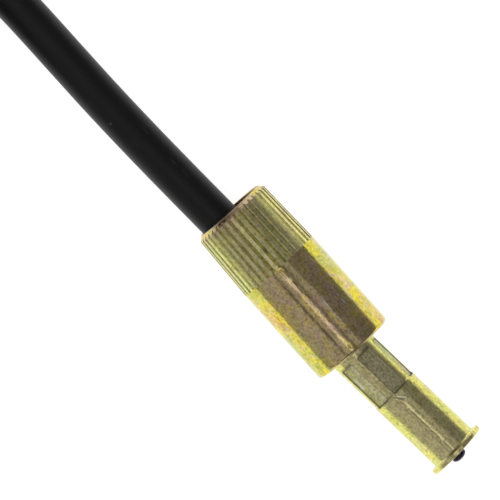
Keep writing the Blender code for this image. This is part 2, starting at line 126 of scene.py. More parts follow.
class Reading:
    """A value in a node tree. Plain arithmetic on it adds Math nodes."""

    def __init__(self, sketch: Sketch, socket: bpy.types.NodeSocket) -> None:
        """Takes the sketch of its tree, and the socket that gives it."""
        self.sketch = sketch
        self.socket = socket

    __add__ = __radd__ = adds("ADD")
    __mul__ = __rmul__ = adds("MULTIPLY")
    __sub__ = adds("SUBTRACT")
    __rsub__ = adds("SUBTRACT", swapped=True)
    __truediv__ = adds("DIVIDE")
    __rtruediv__ = adds("DIVIDE", swapped=True)
    __pow__ = adds("POWER")
    __abs__ = adds("ABSOLUTE")
    __gt__ = adds("GREATER_THAN")
    __lt__ = adds("LESS_THAN")
    at_least = adds("MAXIMUM")
    at_most = adds("MINIMUM")
    fraction = adds("FRACT")
    rounded = adds("ROUND")
    sine = adds("SINE")
    cosine = adds("COSINE")
    root = adds("SQRT")
    bearing = adds("ARCTAN2")


class Sketch:
    """Adds and joins the nodes of one tree."""

    def __init__(self, tree: bpy.types.NodeTree) -> None:
        """Takes the tree that nodes are added to."""
        self.tree = tree

    def feed(self, socket: bpy.types.NodeSocket, value: Any) -> None:
        """Links a reading to an input, or sets the input's own value."""
        if isinstance(value, Reading):
            self.tree.links.new(value.socket, socket)
        else:
            socket.default_value = value

    def node(self, kind: str, inputs: dict[Any, Any] | None = None, **settings: Any) -> bpy.types.Node:
        """Adds a node.

        Args:
            kind: the node's type name.
            inputs: values or readings for its inputs, by name or number.
            settings: properties to set before the inputs are fed.

        Returns:
            The new node.
        """
        made = self.tree.nodes.new(kind)
        for name, value in settings.items():
            setattr(made, name, value)
        for key, value in (inputs or {}).items():
            self.feed(made.inputs[key], value)
        return made

    def read(self, kind: str, inputs: dict[Any, Any] | None = None, output: int | str = 0, **settings: Any) -> Reading:
        """Adds a node, and reads one of its outputs."""
        return Reading(self, self.node(kind, inputs, **settings).outputs[output])

    def use(self, group: bpy.types.NodeTree, **given: Any) -> list[Reading]:
        """Adds a node group with its inputs given by name, and reads all of its outputs."""
        made = self.node("ShaderNodeGroup", node_tree=group)
        for label, value in given.items():
            self.feed(made.inputs[label], value)
        return [Reading(self, output) for output in made.outputs]

    def mark(self, name: str) -> Reading:
        """A value kept on the piece's points, such as how far down a groove they lie."""
        return self.read("ShaderNodeAttribute", output="Fac", attribute_name=name)

    def split(self, vector: Reading) -> list[Reading]:
        """A vector's x, y and z."""
        return [Reading(self, output) for output in self.node("ShaderNodeSeparateXYZ", {0: vector}).outputs]

    def vector(self, *parts: Any) -> Reading:
        """A vector of these parts."""
        return self.read("ShaderNodeCombineXYZ", dict(enumerate(parts)))

    def times(self, first: Any, second: Any) -> Reading:
        """Two vectors multiplied part by part."""
        return self.read("ShaderNodeVectorMath", {0: first, 1: second}, operation="MULTIPLY")

    def noise(self, place: Reading, size: Any, detail: float, roughness: float = 0.5, bent: float = 0.0) -> Reading:
        """A noise from 0 to 1."""
        given = {"Vector": place, "Scale": size, "Detail": detail, "Roughness": roughness, "Distortion": bent}
        return self.read("ShaderNodeTexNoise", given, "Fac")

    def fade(self, value: Reading, low: Any, high: Any, how: str = "SMOOTHSTEP") -> Reading:
        """Rises from 0 at low to 1 at high."""
        given = {"Value": value, "From Min": low, "From Max": high}
        return self.read("ShaderNodeMapRange", given, interpolation_type=how)

    def ramp(self, value: Reading, *stops: tuple[float, Colour]) -> Reading:
        """The colour for a value, between stops that each give a place from 0 to 1 and a colour."""
        made = self.node("ShaderNodeValToRGB", {0: value})
        elements = made.color_ramp.elements
        while len(elements) < len(stops):
            elements.new(0.5)
        for element, (place, colour) in zip(elements, stops):
            element.position = place
            element.color = (*colour, 1.0)
        return Reading(self, made.outputs[0])

    def mix(self, under: Any, over: Any, amount: Any, how: str = "MIX") -> Reading:
        """Lays one colour on another.

        Args:
            under: the colour below.
            over: the colour laid on it.
            amount: how much of it, from 0 to 1.
            how: the blend type.

        Returns:
            The mixed colour.
        """
        under, over = ((*c, 1.0) if isinstance(c, tuple) else c for c in (under, over))
        return self.read("ShaderNodeMix", {0: amount, 6: under, 7: over}, 2, data_type="RGBA", blend_type=how)


def floats(*names: str) -> dict[str, str]:
    """Named group inputs or outputs that are numbers."""
    return dict.fromkeys(names, "Float")


def new_group(
    name: str, kind: str, inputs: dict[str, str], outputs: dict[str, str]
) -> tuple[Sketch, dict[str, Reading], bpy.types.Node]:
    """Starts a node group.

    Args:
        name: the group's name.
        kind: its tree type.
        inputs: each input's name and socket type.
        outputs: the same for each output.

    Returns:
        The group's sketch, a reading of each input, and its output node.
    """
    tree = bpy.data.node_groups.new(name, kind)
    for direction, sockets in (("INPUT", inputs), ("OUTPUT", outputs)):
        for label, socket in sockets.items():
            tree.interface.new_socket(label, in_out=direction, socket_type=f"NodeSocket{socket}")
    sketch = Sketch(tree)
    start = sketch.node("NodeGroupInput")
    given = {label: Reading(sketch, start.outputs[label]) for label in inputs}
    return sketch, given, sketch.node("NodeGroupOutput")


# ---- shape trees ----


class ShapeTree:
    """A Geometry Nodes tree that works on a turned piece, round its X axis."""

    def __init__(self, name: str, counts: tuple[str, ...], *sizes: str) -> None:
        """Starts the tree.

        Args:
            name: its name.
            counts: the names of its whole-number inputs.
            sizes: the names of its other number inputs.
        """
        inputs = {"Geometry": "Geometry", **dict.fromkeys(counts, "Int"), **floats(*sizes), "Material": "Material"}
        self.sketch, self.given, self.end = new_group(name, "GeometryNodeTree", inputs, {"Geometry": "Geometry"})
        self.shape = self.given["Geometry"]

    def polar(self) -> tuple[Reading, Reading, Reading]:
        """The point's place along the X axis, its distance from it, and its angle round it."""
        self.place = self.sketch.split(self.sketch.read("GeometryNodeInputPosition"))
        x, y, z = self.place
        self.radius = (z * z + y * y).root()
        return x, self.radius, z.bearing(y)

    def lift(self, rise: Reading) -> None:
        """Moves each point this far out from the X axis."""
        x, y, z = self.place
        factor = rise / self.radius + 1.0
        moved = self.sketch.vector(x, y * factor, z * factor)
        self.shape = self.sketch.read("GeometryNodeSetPosition", {"Geometry": self.shape, "Position": moved})

    def mark(self, name: str, value: Reading) -> None:
        """Keeps a value on the points, for the finish to read."""
        given = {"Geometry": self.shape, "Name": name, "Value": value}
        kept = self.sketch.read("GeometryNodeStoreNamedAttribute", given, data_type="FLOAT", domain="POINT")
        self.shape = kept

    def close(self) -> bpy.types.NodeTree:
        """Ends the tree, with instances made real and the piece's material set."""
        real = self.sketch.read("GeometryNodeRealizeInstances", {0: self.shape})
        given = {"Geometry": real, "Material": self.given["Material"]}
        self.sketch.feed(self.end.inputs[0], self.sketch.read("GeometryNodeSetMaterial", given))
        return self.sketch.tree


def knurl_tree() -> bpy.types.NodeTree:
    """Straight round-bottomed grooves, evenly round a piece, between two places along it."""
    sizes = ("Depth", "Mouth", "Front", "Rear", "Crest at front", "Crest at rear", "Least radius")
    tree = ShapeTree("straight_knurl", ("Count",), *sizes)
    given = tree.given
    x, radius, angle = tree.polar()
    from_middle = abs((angle / math.tau * given["Count"] + 0.5).fraction() - 0.5) * 2.0
    groove = ((from_middle / given["Mouth"]).at_most(1.0) * math.pi).cosine() * 0.5 + 0.5
    ends = {"From Min": "Front", "From Max": "Rear", "To Min": "Crest at front", "To Max": "Crest at rear"}
    ends_given = {socket: given[name] for socket, name in ends.items()}
    crest = tree.sketch.read("ShaderNodeMapRange", {"Value": x, **ends_given})
    floor = crest - groove * given["Depth"]
    here = (x < given["Front"]) * (radius > given["Least radius"])
    fall = here * (radius - floor).at_least(0.0)
    tree.lift(fall * -1.0)
    tree.mark("knurled", here * (x > given["Rear"]))
    # The groove depth is kept for the finish, which paints shade into the groove bottoms.
    tree.mark("groove", fall / given["Depth"])
    return tree.close()


def thread_tree() -> bpy.types.NodeTree:
    """A V thread cut outwards from a bore, between two places along it."""
    tree = ShapeTree("bore_thread", (), "Pitch", "Depth", "Front", "Rear", "Most radius")
    given = tree.given
    x, radius, angle = tree.polar()
    wave = abs((x / given["Pitch"] + angle / math.tau).fraction() - 0.5)
    here = (x > given["Rear"]) * (x < given["Front"]) * (radius < given["Most radius"])
    tree.lift(here * (1.0 - wave * 2.0) * given["Depth"])
    return tree.close()


def panel_tree() -> bpy.types.NodeTree:
    """Flat panels pressed into a tube, evenly round it, with painted shade along each edge."""
    side_shade_width, end_shade_width = 2.2, 0.24
    sizes = ("First", "Width", "Floor", "Soften", "Front", "Rear", "Least radius")
    tree = ShapeTree("crimped_panels", ("Count",), *sizes)
    given = tree.given
    x, radius, angle = tree.polar()
    step = math.tau / given["Count"]
    from_first = angle - given["First"]
    off = from_first - (from_first / step).rounded() * step
    floor = given["Floor"] / off.cosine()
    room = given["Width"] / 2.0 - radius * abs(off.sine())
    share = (room / given["Soften"]).at_least(0.0).at_most(1.0)
    along = (x > given["Rear"]) * (x < given["Front"])
    outside = radius > given["Least radius"]
    here = along * outside * share
    tree.lift(here * (radius - floor).at_least(0.0) * -1.0)
    tree.mark("panel", here)
    # Painted shade: a dark line along each panel's sides and ends, kept for the finish to darken.
    sides = along * (1.0 - abs(room) / (given["Soften"] * side_shade_width)).at_least(0.0)
    from_end = abs(x - given["Front"]).at_most(abs(x - given["Rear"]))
    ends = share * (1.0 - from_end / end_shade_width).at_least(0.0)
    tree.mark("crease_shade", outside * sides.at_least(ends))
    return tree.close()


def winding_tree() -> bpy.types.NodeTree:
    """Wires wound side by side along a piece, each an oval section swept on a helix."""
    tree = ShapeTree("wound_wires", ("Wires",), "Length", "Radius", "Pitch", "Thick", "Wide")
    sketch, given = tree.sketch, tree.given
    spiral = {"Start Radius": given["Radius"], "End Radius": given["Radius"], "Height": given["Length"]}
    turns = given["Length"] / given["Pitch"]
    helix = sketch.read("GeometryNodeCurveSpiral", {"Resolution": 24, "Rotations": turns, **spiral})
    section = sketch.read("GeometryNodeCurvePrimitiveCircle", {"Resolution": 8, "Radius": 0.5})
    size = sketch.vector(given["Thick"], given["Wide"], 1.0)
    oval = sketch.read("GeometryNodeTransform", {"Geometry": section, "Scale": size})
    wire = sketch.read("GeometryNodeCurveToMesh", {"Curve": helix, "Profile Curve": oval, "Fill Caps": True})
    points = sketch.read("GeometryNodePoints", {"Count": given["Wires"]})
    share = sketch.read("GeometryNodeInputIndex") / given["Wires"]
    placed = {"Points": points, "Instance": wire, "Rotation": sketch.vector(0.0, 0.0, share * math.tau)}
    copies = sketch.read("GeometryNodeInstanceOnPoints", placed)
    laid = sketch.read("GeometryNodeTransform", {"Geometry": copies, "Rotation": (0.0, -math.pi / 2.0, 0.0)})
    joined = sketch.node("GeometryNodeJoinGeometry")
    for shape in (tree.shape, laid):
        sketch.feed(joined.inputs[0], shape)
    tree.shape = Reading(sketch, joined.outputs[0])
    return tree.close()


# ---- finishes ----


def film_and_reflection_group() -> bpy.types.NodeTree:
    """The drifting colours of a thin chromate film, browner on a piece's back, with a painted reflection of the pale
    bench that makes them yellower down its sides.
    """
    inputs = {"Place": "Vector", **floats("Size", "Rose", "Pale", "Green")}
    sketch, given, end = new_group("chromate_film_and_side_reflection", "ShaderNodeTree", inputs, {"Colour": "Color", "Patch": "Float"})
    _, y, z = sketch.split(given["Place"])
    radius = (z * z + y * y).root()
    # Painted reflection: down the sides the film gets the yellower edge colours, which stand for the pale bench
    # reflected in the plate at a grazing angle.
    side = sketch.fade(abs(z) / radius.at_least(0.01), 0.86, 0.6)
    drawn = sketch.times(given["Place"], (0.6, 1.0, 1.0))
    slow = sketch.noise(drawn, given["Size"], 3.0, 0.6, 0.7)
    fast = sketch.noise(drawn, given["Size"] * 2.3, 4.0, 0.6, 1.0)
    face = sketch.ramp(
        slow,
        (0.3, (0.47, 0.41, 0.19)),
        (0.46, (0.58, 0.47, 0.25)),
        (0.58, (0.64, 0.5, 0.26)),
        (0.72, (0.60, 0.43, 0.31)),
    )
    # Edge colours: the film's colours with a painted reflection of the pale bench in them, laid down the sides.
    edge = sketch.ramp(
        slow,
        (0.32, (0.48, 0.54, 0.08)),
        (0.46, (0.6, 0.58, 0.12)),
        (0.58, (0.72, 0.58, 0.07)),
        (0.7, (0.68, 0.46, 0.2)),
    )
    rosy = sketch.fade(fast, 0.53, 0.64) * given["Rose"]
    golden = sketch.fade(fast, 0.48, 0.36) * given["Rose"]
    layers = []
    for base, rose, gold, pale in (
        (face, (0.62, 0.42, 0.36), (0.74, 0.57, 0.12), (0.84, 0.8, 0.4)),
        (edge, (0.68, 0.52, 0.4), (0.8, 0.66, 0.02), (0.74, 0.75, 0.24)),
    ):
        made = sketch.mix(sketch.mix(base, rose, rosy), gold, golden)
        made = sketch.mix(made, (0.72, 0.73, 0.36), given["Green"])
        layers.append(sketch.mix(made, pale, given["Pale"]))
    sketch.feed(end.inputs["Colour"], sketch.mix(*layers, side))
    sketch.feed(end.inputs["Patch"], fast)
    return sketch.tree


def scratch_group() -> bpy.types.NodeTree:
    """Sparse fine scratches that run mostly along one way."""
    inputs = {"Place": "Vector", **floats("Along", "Across", "Share")}
    sketch, given, end = new_group("sparse_scratches", "ShaderNodeTree", inputs, floats("Mask"))
    bends = {"Vector": given["Place"], "Scale": 0.5, "Detail": 1.0}
    push = sketch.times(sketch.read("ShaderNodeTexNoise", bends, "Color"), (0.0, 0.5, 0.5))
    moved = sketch.read("ShaderNodeVectorMath", {0: given["Place"], 1: push}, operation="ADD")
    drawn = sketch.times(moved, sketch.vector(given["Along"], given["Across"], given["Across"]))
    low = 0.78 - given["Share"] * 0.2
    sketch.feed(end.inputs["Mask"], sketch.fade(sketch.noise(drawn, 1.0, 2.0), low, low + 0.05, "LINEAR"))
    return sketch.tree


def line_mark_group() -> bpy.types.NodeTree:
    """One broken thin line along a turned piece, at an angle round it."""
    inputs = {"Place": "Vector", **floats("Angle", "Front", "Rear", "Width", "Broken")}
    sketch, given, end = new_group("thin_line_mark", "ShaderNodeTree", inputs, floats("Mask"))
    x, y, z = sketch.split(given["Place"])
    wander = (sketch.noise(given["Place"], 0.35, 1.0) - 0.5) * 0.06
    off = abs(z.bearing(y) - given["Angle"] + wander)
    line = (1.0 - off / given["Width"]).at_least(0.0)
    gaps = sketch.noise(given["Place"], 0.9, 3.0)
    whole = sketch.fade(gaps, given["Broken"], given["Broken"] + 0.12, "LINEAR")
    along = (x > given["Rear"]) * (x < given["Front"])
    sketch.feed(end.inputs["Mask"], line * (along * whole))
    return sketch.tree


def grain_group() -> bpy.types.NodeTree:
    """Fine grain and a coarser mottle, for colour, roughness and height."""
    inputs = {"Place": "Vector", "Size": "Float", "Stretch": "Vector"}
    sketch, given, end = new_group("fine_grain", "ShaderNodeTree", inputs, floats("Grain", "Mottle"))
    drawn = sketch.times(given["Place"], given["Stretch"])
    sketch.feed(end.inputs["Grain"], sketch.noise(drawn, given["Size"], 4.0, 0.65))
    sketch.feed(end.inputs["Mottle"], sketch.noise(drawn, given["Size"] * 0.22, 3.0, 0.6))
    return sketch.tree


class FinishGroups:
    """The shader node groups that more than one finish uses."""

    def __init__(self) -> None:
        """Builds each group once."""
        self.film_and_reflection = film_and_reflection_group()
        self.scratches = scratch_group()
        self.grain = grain_group()
        self.line_mark = line_mark_group()


class Shader:
    """A material with its sketch and its Principled shader."""

    def __init__(self, name: str) -> None:
        """Starts the material."""
        self.material = bpy.data.materials.new(name)
        self.material.use_nodes = True
        self.sketch = Sketch(self.material.node_tree)
        self.inputs = self.material.node_tree.nodes["Principled BSDF"].inputs

    def feed(self, **values: Any) -> bpy.types.Material:
        """Feeds readings to the shader's inputs, whose names have _ for a space.

        Args:
            values: a reading or a value for each input.

        Returns:
            The material.
        """
        for name, value in values.items():
            self.sketch.feed(self.inputs[name.replace("_", " ")], value)
        return self.material

    def bump(self, strength: float, distance: float, height: Reading) -> Reading:
        """The normal over a height, whose full depth is this distance in millimetres."""
        given = {"Strength": strength, "Distance": distance * MM, "Height": height}
        return self.sketch.read("ShaderNodeBump", given)

    def own_place(self) -> Reading:
        """The point's place in its piece's own frame, in millimetres."""
        return self.sketch.read("ShaderNodeAttribute", output="Vector", attribute_name="own")

    def cad_place(self) -> Reading:
        """The point's place on a CAD node, in millimetres."""
        place = self.sketch.read("ShaderNodeTexCoord", output="Object")
        return self.sketch.read("ShaderNodeVectorMath", {0: place, "Scale": 1.0 / MM}, operation="SCALE")


LineMark = tuple[float, float, float, float, float, Colour]


@dataclass(frozen=True)
class YellowZinc:
    """Yellow chromate zinc plate over turned steel.

    Each line mark is a thin line's angle round the piece in degrees, its front and rear, its half width in
    radians, how broken it is, and its colour. Some are painted reflection streaks.
    """

    name: str
    film_size: float = 0.22
    rose: float = 0.55
    pale: float = 0.0
    roughness: float = 0.13
    scratch: float = 0.35
    line_marks: tuple[LineMark, ...] = ()

    def build(self, groups: FinishGroups) -> bpy.types.Material:
        """Makes the material."""
        shader = Shader(self.name)
        sketch = shader.sketch
        place = shader.own_place()
        names = ("knurled", "groove", "panel", "crease_shade", "wear", "painted_highlight")
        knurled, groove, panel, crease_shade, wear, painted_highlight = (sketch.mark(name) for name in names)
        film_and_reflection = {"Size": self.film_size, "Rose": self.rose, "Pale": self.pale, "Green": knurled * 0.55}
        colour, patch = sketch.use(groups.film_and_reflection, Place=place, **film_and_reflection)
        grain, mottle = sketch.use(groups.grain, Place=place, Size=2.6, Stretch=(0.8, 1.0, 1.0))
        (lines,) = sketch.use(groups.scratches, Place=place, Along=0.28, Across=4.0, Share=self.scratch)

        speckle = sketch.ramp(grain, (0.34, (0.6, 0.59, 0.56)), (0.5, (1.0, 1.0, 1.0)), (0.66, (1.2, 1.19, 1.17)))
        blotch = sketch.ramp(mottle, (0.32, (0.7, 0.68, 0.65)), (0.52, (1.0, 1.0, 1.0)))
        stamped = sketch.ramp(grain, (0.38, (0.26, 0.26, 0.19)), (0.62, (0.62, 0.62, 0.46)))
        colour = sketch.mix(colour, speckle, 0.95, "MULTIPLY")
        colour = sketch.mix(colour, blotch, 0.7, "MULTIPLY")
        for over, amount in (
            # Painted shade, darkest at the bottom of the knurl's grooves.
            ((0.13, 0.13, 0.06), groove**1.15 * 0.9),
            (stamped, panel * 0.5),
            # Painted shade along the panel edges and beside raised marks.
            ((0.08, 0.08, 0.05), crease_shade * 0.75),
            ((0.72, 0.53, 0.4), wear * 0.6),
            ((0.85, 0.8, 0.68), lines * 0.45),
            # Painted highlight: a pale tint on raised marks.
            ((0.78, 0.77, 0.5), painted_highlight * 0.7),
        ):
            colour = sketch.mix(colour, over, amount)
        height = (mottle * 0.7 + grain) * (panel * 2.5 + 1.0) + lines * -0.4
        # Thin lines laid into the colour and pressed slightly into the height; the nut's long dark one is a painted
        # reflection streak.
        for angle, front, rear, width, broken, tint in self.line_marks:
            line = {"Angle": math.radians(angle), "Front": front, "Rear": rear, "Width": width, "Broken": broken}
            (line_mark,) = sketch.use(groups.line_mark, Place=place, **line)
            colour = sketch.mix(colour, tint, line_mark)
            height = height + line_mark * -0.2
        rough = patch * 0.16 + (self.roughness - 0.06) + panel * 0.3 + knurled * 0.16 + wear * 0.3
        normal = shader.bump(0.45, 0.02, height)
        # Metallic drops under the painted highlight, so that its pale tint shows.
        return shader.feed(Base_Color=colour, Metallic=painted_highlight * -0.5 + 1.0, Roughness=rough, Normal=normal)


@dataclass(frozen=True)
class PlainFinish:
    """A finish of one colour with grain: drawn steel, brass, nylon or rubber."""

    name: str
    light: Colour
    dark: Colour
    metallic: float
    roughness: float
    grain_size: float
    on_cad_node: bool = False

    def build(self, groups: FinishGroups) -> bpy.types.Material:
        """Makes the material."""
        shader = Shader(self.name)
        place = shader.cad_place() if self.on_cad_node else shader.own_place()
        grain, mottle = shader.sketch.use(groups.grain, Place=place, Size=self.grain_size, Stretch=(1.0, 1.0, 1.0))
        colour = shader.sketch.ramp(mottle, (0.35, self.dark), (0.65, self.light))
        rough = grain * 0.2 + (self.roughness - 0.1)
        normal = shader.bump(0.3, 0.01, grain)
        return shader.feed(Base_Color=colour, Metallic=self.metallic, Roughness=rough, Normal=normal)


@dataclass(frozen=True)
class BlackSheath:
    """The extruded plastic sheath: satin black, with die lines, pimples painted a lighter grey as a painted highlight,
    and a few scuffs.
    """

    name: str = "black_sheath"
    gloss: float = 0.28

    def build(self, groups: FinishGroups) -> bpy.types.Material:
        """Makes the material."""
        shader = Shader(self.name)
        sketch = shader.sketch
        place = shader.own_place()
        die, die_mottle = sketch.use(groups.grain, Place=place, Size=3.5, Stretch=(0.02, 1.0, 1.0))
        speck, speck_mottle = sketch.use(groups.grain, Place=place, Size=6.0, Stretch=(1.0, 1.0, 1.0))
        (lines,) = sketch.use(groups.scratches, Place=place, Along=0.2, Across=2.2, Share=0.35)
        cells = sketch.node("ShaderNodeTexVoronoi", {"Vector": place, "Scale": 0.24})
        picked = sketch.read("ShaderNodeSeparateColor", {0: Reading(sketch, cells.outputs["Color"])})
        pimple = (Reading(sketch, cells.outputs["Distance"]) < 0.055) * (picked > 0.45)
        colour = sketch.ramp(die_mottle, (0.3, (0.002, 0.002, 0.0024)), (0.7, (0.0042, 0.0042, 0.005)))
        # Painted highlight: each pimple is painted a lighter grey; the bump below raises it too.
        colour = sketch.mix(colour, (0.06, 0.06, 0.065), pimple * 0.8)
        colour = sketch.mix(colour, (0.04, 0.04, 0.045), lines * 0.35)
        rough = speck_mottle * 0.16 + 0.36 + lines * 0.15
        normal = shader.bump(0.3, 0.012, pimple * 2.5 + (speck * 0.4 + die))
        return shader.feed(Base_Color=colour, Specular_IOR_Level=self.gloss, Roughness=rough, Normal=normal)


# ---- turned shapes ----


class Outline:
    """The closed outline of a turned piece, as (x, radius) points, outer side from front to back."""

    def __init__(self, x: float, radius: float) -> None:
        """Starts the outline at a point."""
        self.points: list[tuple[float, float]] = [(x, radius)]

    def to(self, x: float, radius: float, rows: int = 1) -> Outline:
        """Runs straight to a point, in this many rows."""
        from_x, from_r = self.points[-1]
        for i in range(1, rows + 1):
            share = i / rows
            self.points.append((from_x + (x - from_x) * share, from_r + (radius - from_r) * share))
        return self

    def arc(self, x: float, radius: float, size: float, start: float, end: float, rows: int = 6) -> Outline:
        """Runs along an arc.

        Args:
            x: the arc's centre along the axis.
            radius: its centre's distance from the axis.
            size: the arc's own radius.
            start: the angle it starts at, in degrees from +x.
            end: the angle it ends at.
            rows: how many rows it takes.

        Returns:
            This outline.
        """
        for i in range(rows + 1):
            angle = math.radians(start + (end - start) * i / rows)
            point = (x + size * math.cos(angle), radius + size * math.sin(angle))
            if math.dist(point, self.points[-1]) > 1e-6:
                self.points.append(point)
        return self

    def wear(self, reach: float = 0.26) -> list[float]:
        """How worn each point is: 1 on an outward corner, falling off within a short reach."""
        blunt, ease = math.radians(30.0), math.radians(15.0)
        places = [Vector(point) for point in self.points]
        corner = []
        for before, here, after in zip(places[-1:] + places, places, places[1:] + places[:1]):
            first, second = here - before, after - here
            turn = math.atan2(first.cross(second), first.dot(second))
            corner.append(max(0.0, min(1.0, (turn - blunt) / ease)))
        return [
            max(c * math.exp(-math.dist(point, other) / reach) for c, other in zip(corner, self.points))
            for point in self.points
        ]


def turned(name: str, outline: Outline, sides: int) -> bpy.types.Object:
    """Sweeps an outline round the X axis.

    Args:
        name: the piece's name.
        outline: its closed outline.
        sides: how many steps the turn takes.

    Returns:
        The piece, in millimetres in its own frame, with its wear kept on its points.
    """
    shape = bmesh.new()
    layer = shape.verts.layers.float.new("wear")
    rings: list[list[bmesh.types.BMVert]] = []
    for (x, radius), worn in zip(outline.points, outline.wear()):
        steps = 1 if radius < 1e-6 else sides
        ring = []
        for k in range(steps):
            angle = math.tau * k / sides
            vert = shape.verts.new((x, radius * math.cos(angle), radius * math.sin(angle)))
            vert[layer] = worn
            ring.append(vert)
        rings.append(ring)
    for ring, ahead in zip(rings, rings[1:] + rings[:1]):
        if len(ring) == 1 and len(ahead) == 1:
            continue
        for k in range(sides):
            corners = (ring[k % len(ring)], ring[(k + 1) % len(ring)])
            corners += (ahead[(k + 1) % len(ahead)], ahead[k % len(ahead)])
            shape.faces.new(list(dict.fromkeys(corners)))
    bmesh.ops.recalc_face_normals(shape, faces=shape.faces)
    return from_bmesh(name, shape)


def from_bmesh(name: str, shape: bmesh.types.BMesh) -> bpy.types.Object:
    """Makes an object of a bmesh, and frees it."""
    mesh = bpy.data.meshes.new(name)
    shape.to_mesh(mesh)
    shape.free()
    made = bpy.data.objects.new(name, mesh)
    bpy.context.scene.collection.objects.link(made)
    return made


def eased(shape: bmesh.types.BMesh, edges: Any, offset: float, segments: int) -> None:
    """Rounds these edges by the offset."""
    bmesh.ops.bevel(shape, geom=list(edges), offset=offset, segments=segments, affect="EDGES", profile=0.5)


def shaped(
    piece: bpy.types.Object, tree: bpy.types.NodeTree, finish: bpy.types.Material, sizes: dict[str, float]
) -> None:
    """Runs a piece through a Geometry Nodes tree and keeps the result as its plain mesh.

    Args:
        piece: the piece, in its own frame.
        tree: the tree.
        finish: the material that it ends with.
        sizes: a value for each of the tree's other named inputs.
    """
    modifier = piece.modifiers.new(tree.name, "NODES")
    modifier.node_group = tree
    values = {**sizes, "Material": finish}
    for item in tree.interface.items_tree:
        if item.item_type == "SOCKET" and item.in_out == "INPUT" and item.name in values:
            modifier[item.identifier] = values[item.name]
    piece.update_tag()
    graph = bpy.context.evaluated_depsgraph_get()
    mesh = bpy.data.meshes.new_from_object(piece.evaluated_get(graph))
    piece.modifiers.clear()
    old = piece.data
    piece.data = mesh
    bpy.data.meshes.remove(old)


@dataclass(frozen=True)
class Mark:
    """A small dent or raised pip in a turned piece, in mm and degrees from its +Y side over the top."""

    x: float
    angle: float
    reach: float
    depth: float
    # The shade names the painted shade or painted highlight that the mark leaves in the finish's colour.
    shade: str = ""  # the mark that it leaves for the finish, if it has one

    def press(self, piece: bpy.types.Object, level: float) -> None:
        """Moves the surface in towards the X axis, or out if the depth is negative.

        Args:
            piece: the piece, in its own frame.
            level: the radius of the surface there.
        """
        turn = math.radians(self.angle)
        place = Vector((self.x, level * math.cos(turn), level * math.sin(turn)))
        if self.shade and self.shade not in piece.data.attributes:
            piece.data.attributes.new(self.shade, "FLOAT", "POINT")
        shades = piece.data.attributes[self.shade].data if self.shade else None
        for vert in piece.data.vertices:
            away = (vert.co - place).length
            if away < self.reach * 2.5:
                share = math.exp(-((away / self.reach) ** 2))
                vert.co -= Vector((0.0, vert.co.y, vert.co.z)).normalized() * self.depth * share
                if shades:
                    shades[vert.index].value = min(1.0, shades[vert.index].value + share)


# ---- seats ----


@dataclass(frozen=True)
class Seat:
    """Where a piece's own frame lies: its origin in metres, and how its X axis is turned."""

    origin: Vector
    yaw: float = 0.0

    def matrix(self) -> Matrix:
        """From millimetres in the piece's frame to metres in the model's."""
        turn = Matrix.Rotation(self.yaw, 4, "Z")
        return Matrix.Translation(self.origin) @ turn @ Matrix.Scale(MM, 4)

    def settle(self, piece: bpy.types.Object, sharp: float = 32.0) -> bpy.types.Object:
        """Puts a finished piece in place, with its own frame kept for its finish.

        Args:
            piece: the piece, in its own frame.
            sharp: edges sharper than this many degrees stay crisp.

        Returns:
            The piece, whose place is now in its mesh.
        """
        mesh = piece.data
        own = mesh.attributes.new("own", "FLOAT_VECTOR", "POINT")
        values = [0.0] * (len(mesh.vertices) * 3)
        mesh.vertices.foreach_get("co", values)
        own.data.foreach_set("vector", values)
        mesh.transform(self.matrix())
        mesh.shade_smooth()
        mesh.set_sharp_from_angle(angle=math.radians(sharp))
        return piece


def dressed(
    piece: bpy.types.Object, material: bpy.types.Material, slot: Slot, body: Body, *nodes: str
) -> bpy.types.Object:
    """Gives a piece its finish, its body and the CAD nodes that it stands for.

    Args:
        piece: the finished piece, in place.
        material: its finish.
        slot: the record's slot that the finish comes from; not used.
        body: the body it rides on.
        nodes: the CAD nodes it replaces.

    Returns:
        The piece.
    """
    piece.data.materials.clear()
    piece.data.materials.append(material)
    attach(piece, body.value)
    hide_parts(*nodes)
    LOG.info("%s rides on %s", piece.name, body.value)
    return piece


def middle_of(node: str) -> Vector:
    """The middle of a CAD node's box."""
    low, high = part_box(node)
    return (low + high) / 2.0


def joint(name: str) -> dict[str, Any]:
    """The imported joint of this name."""
    return next(j for j in FRAME["joints"] if j["name"] == name)


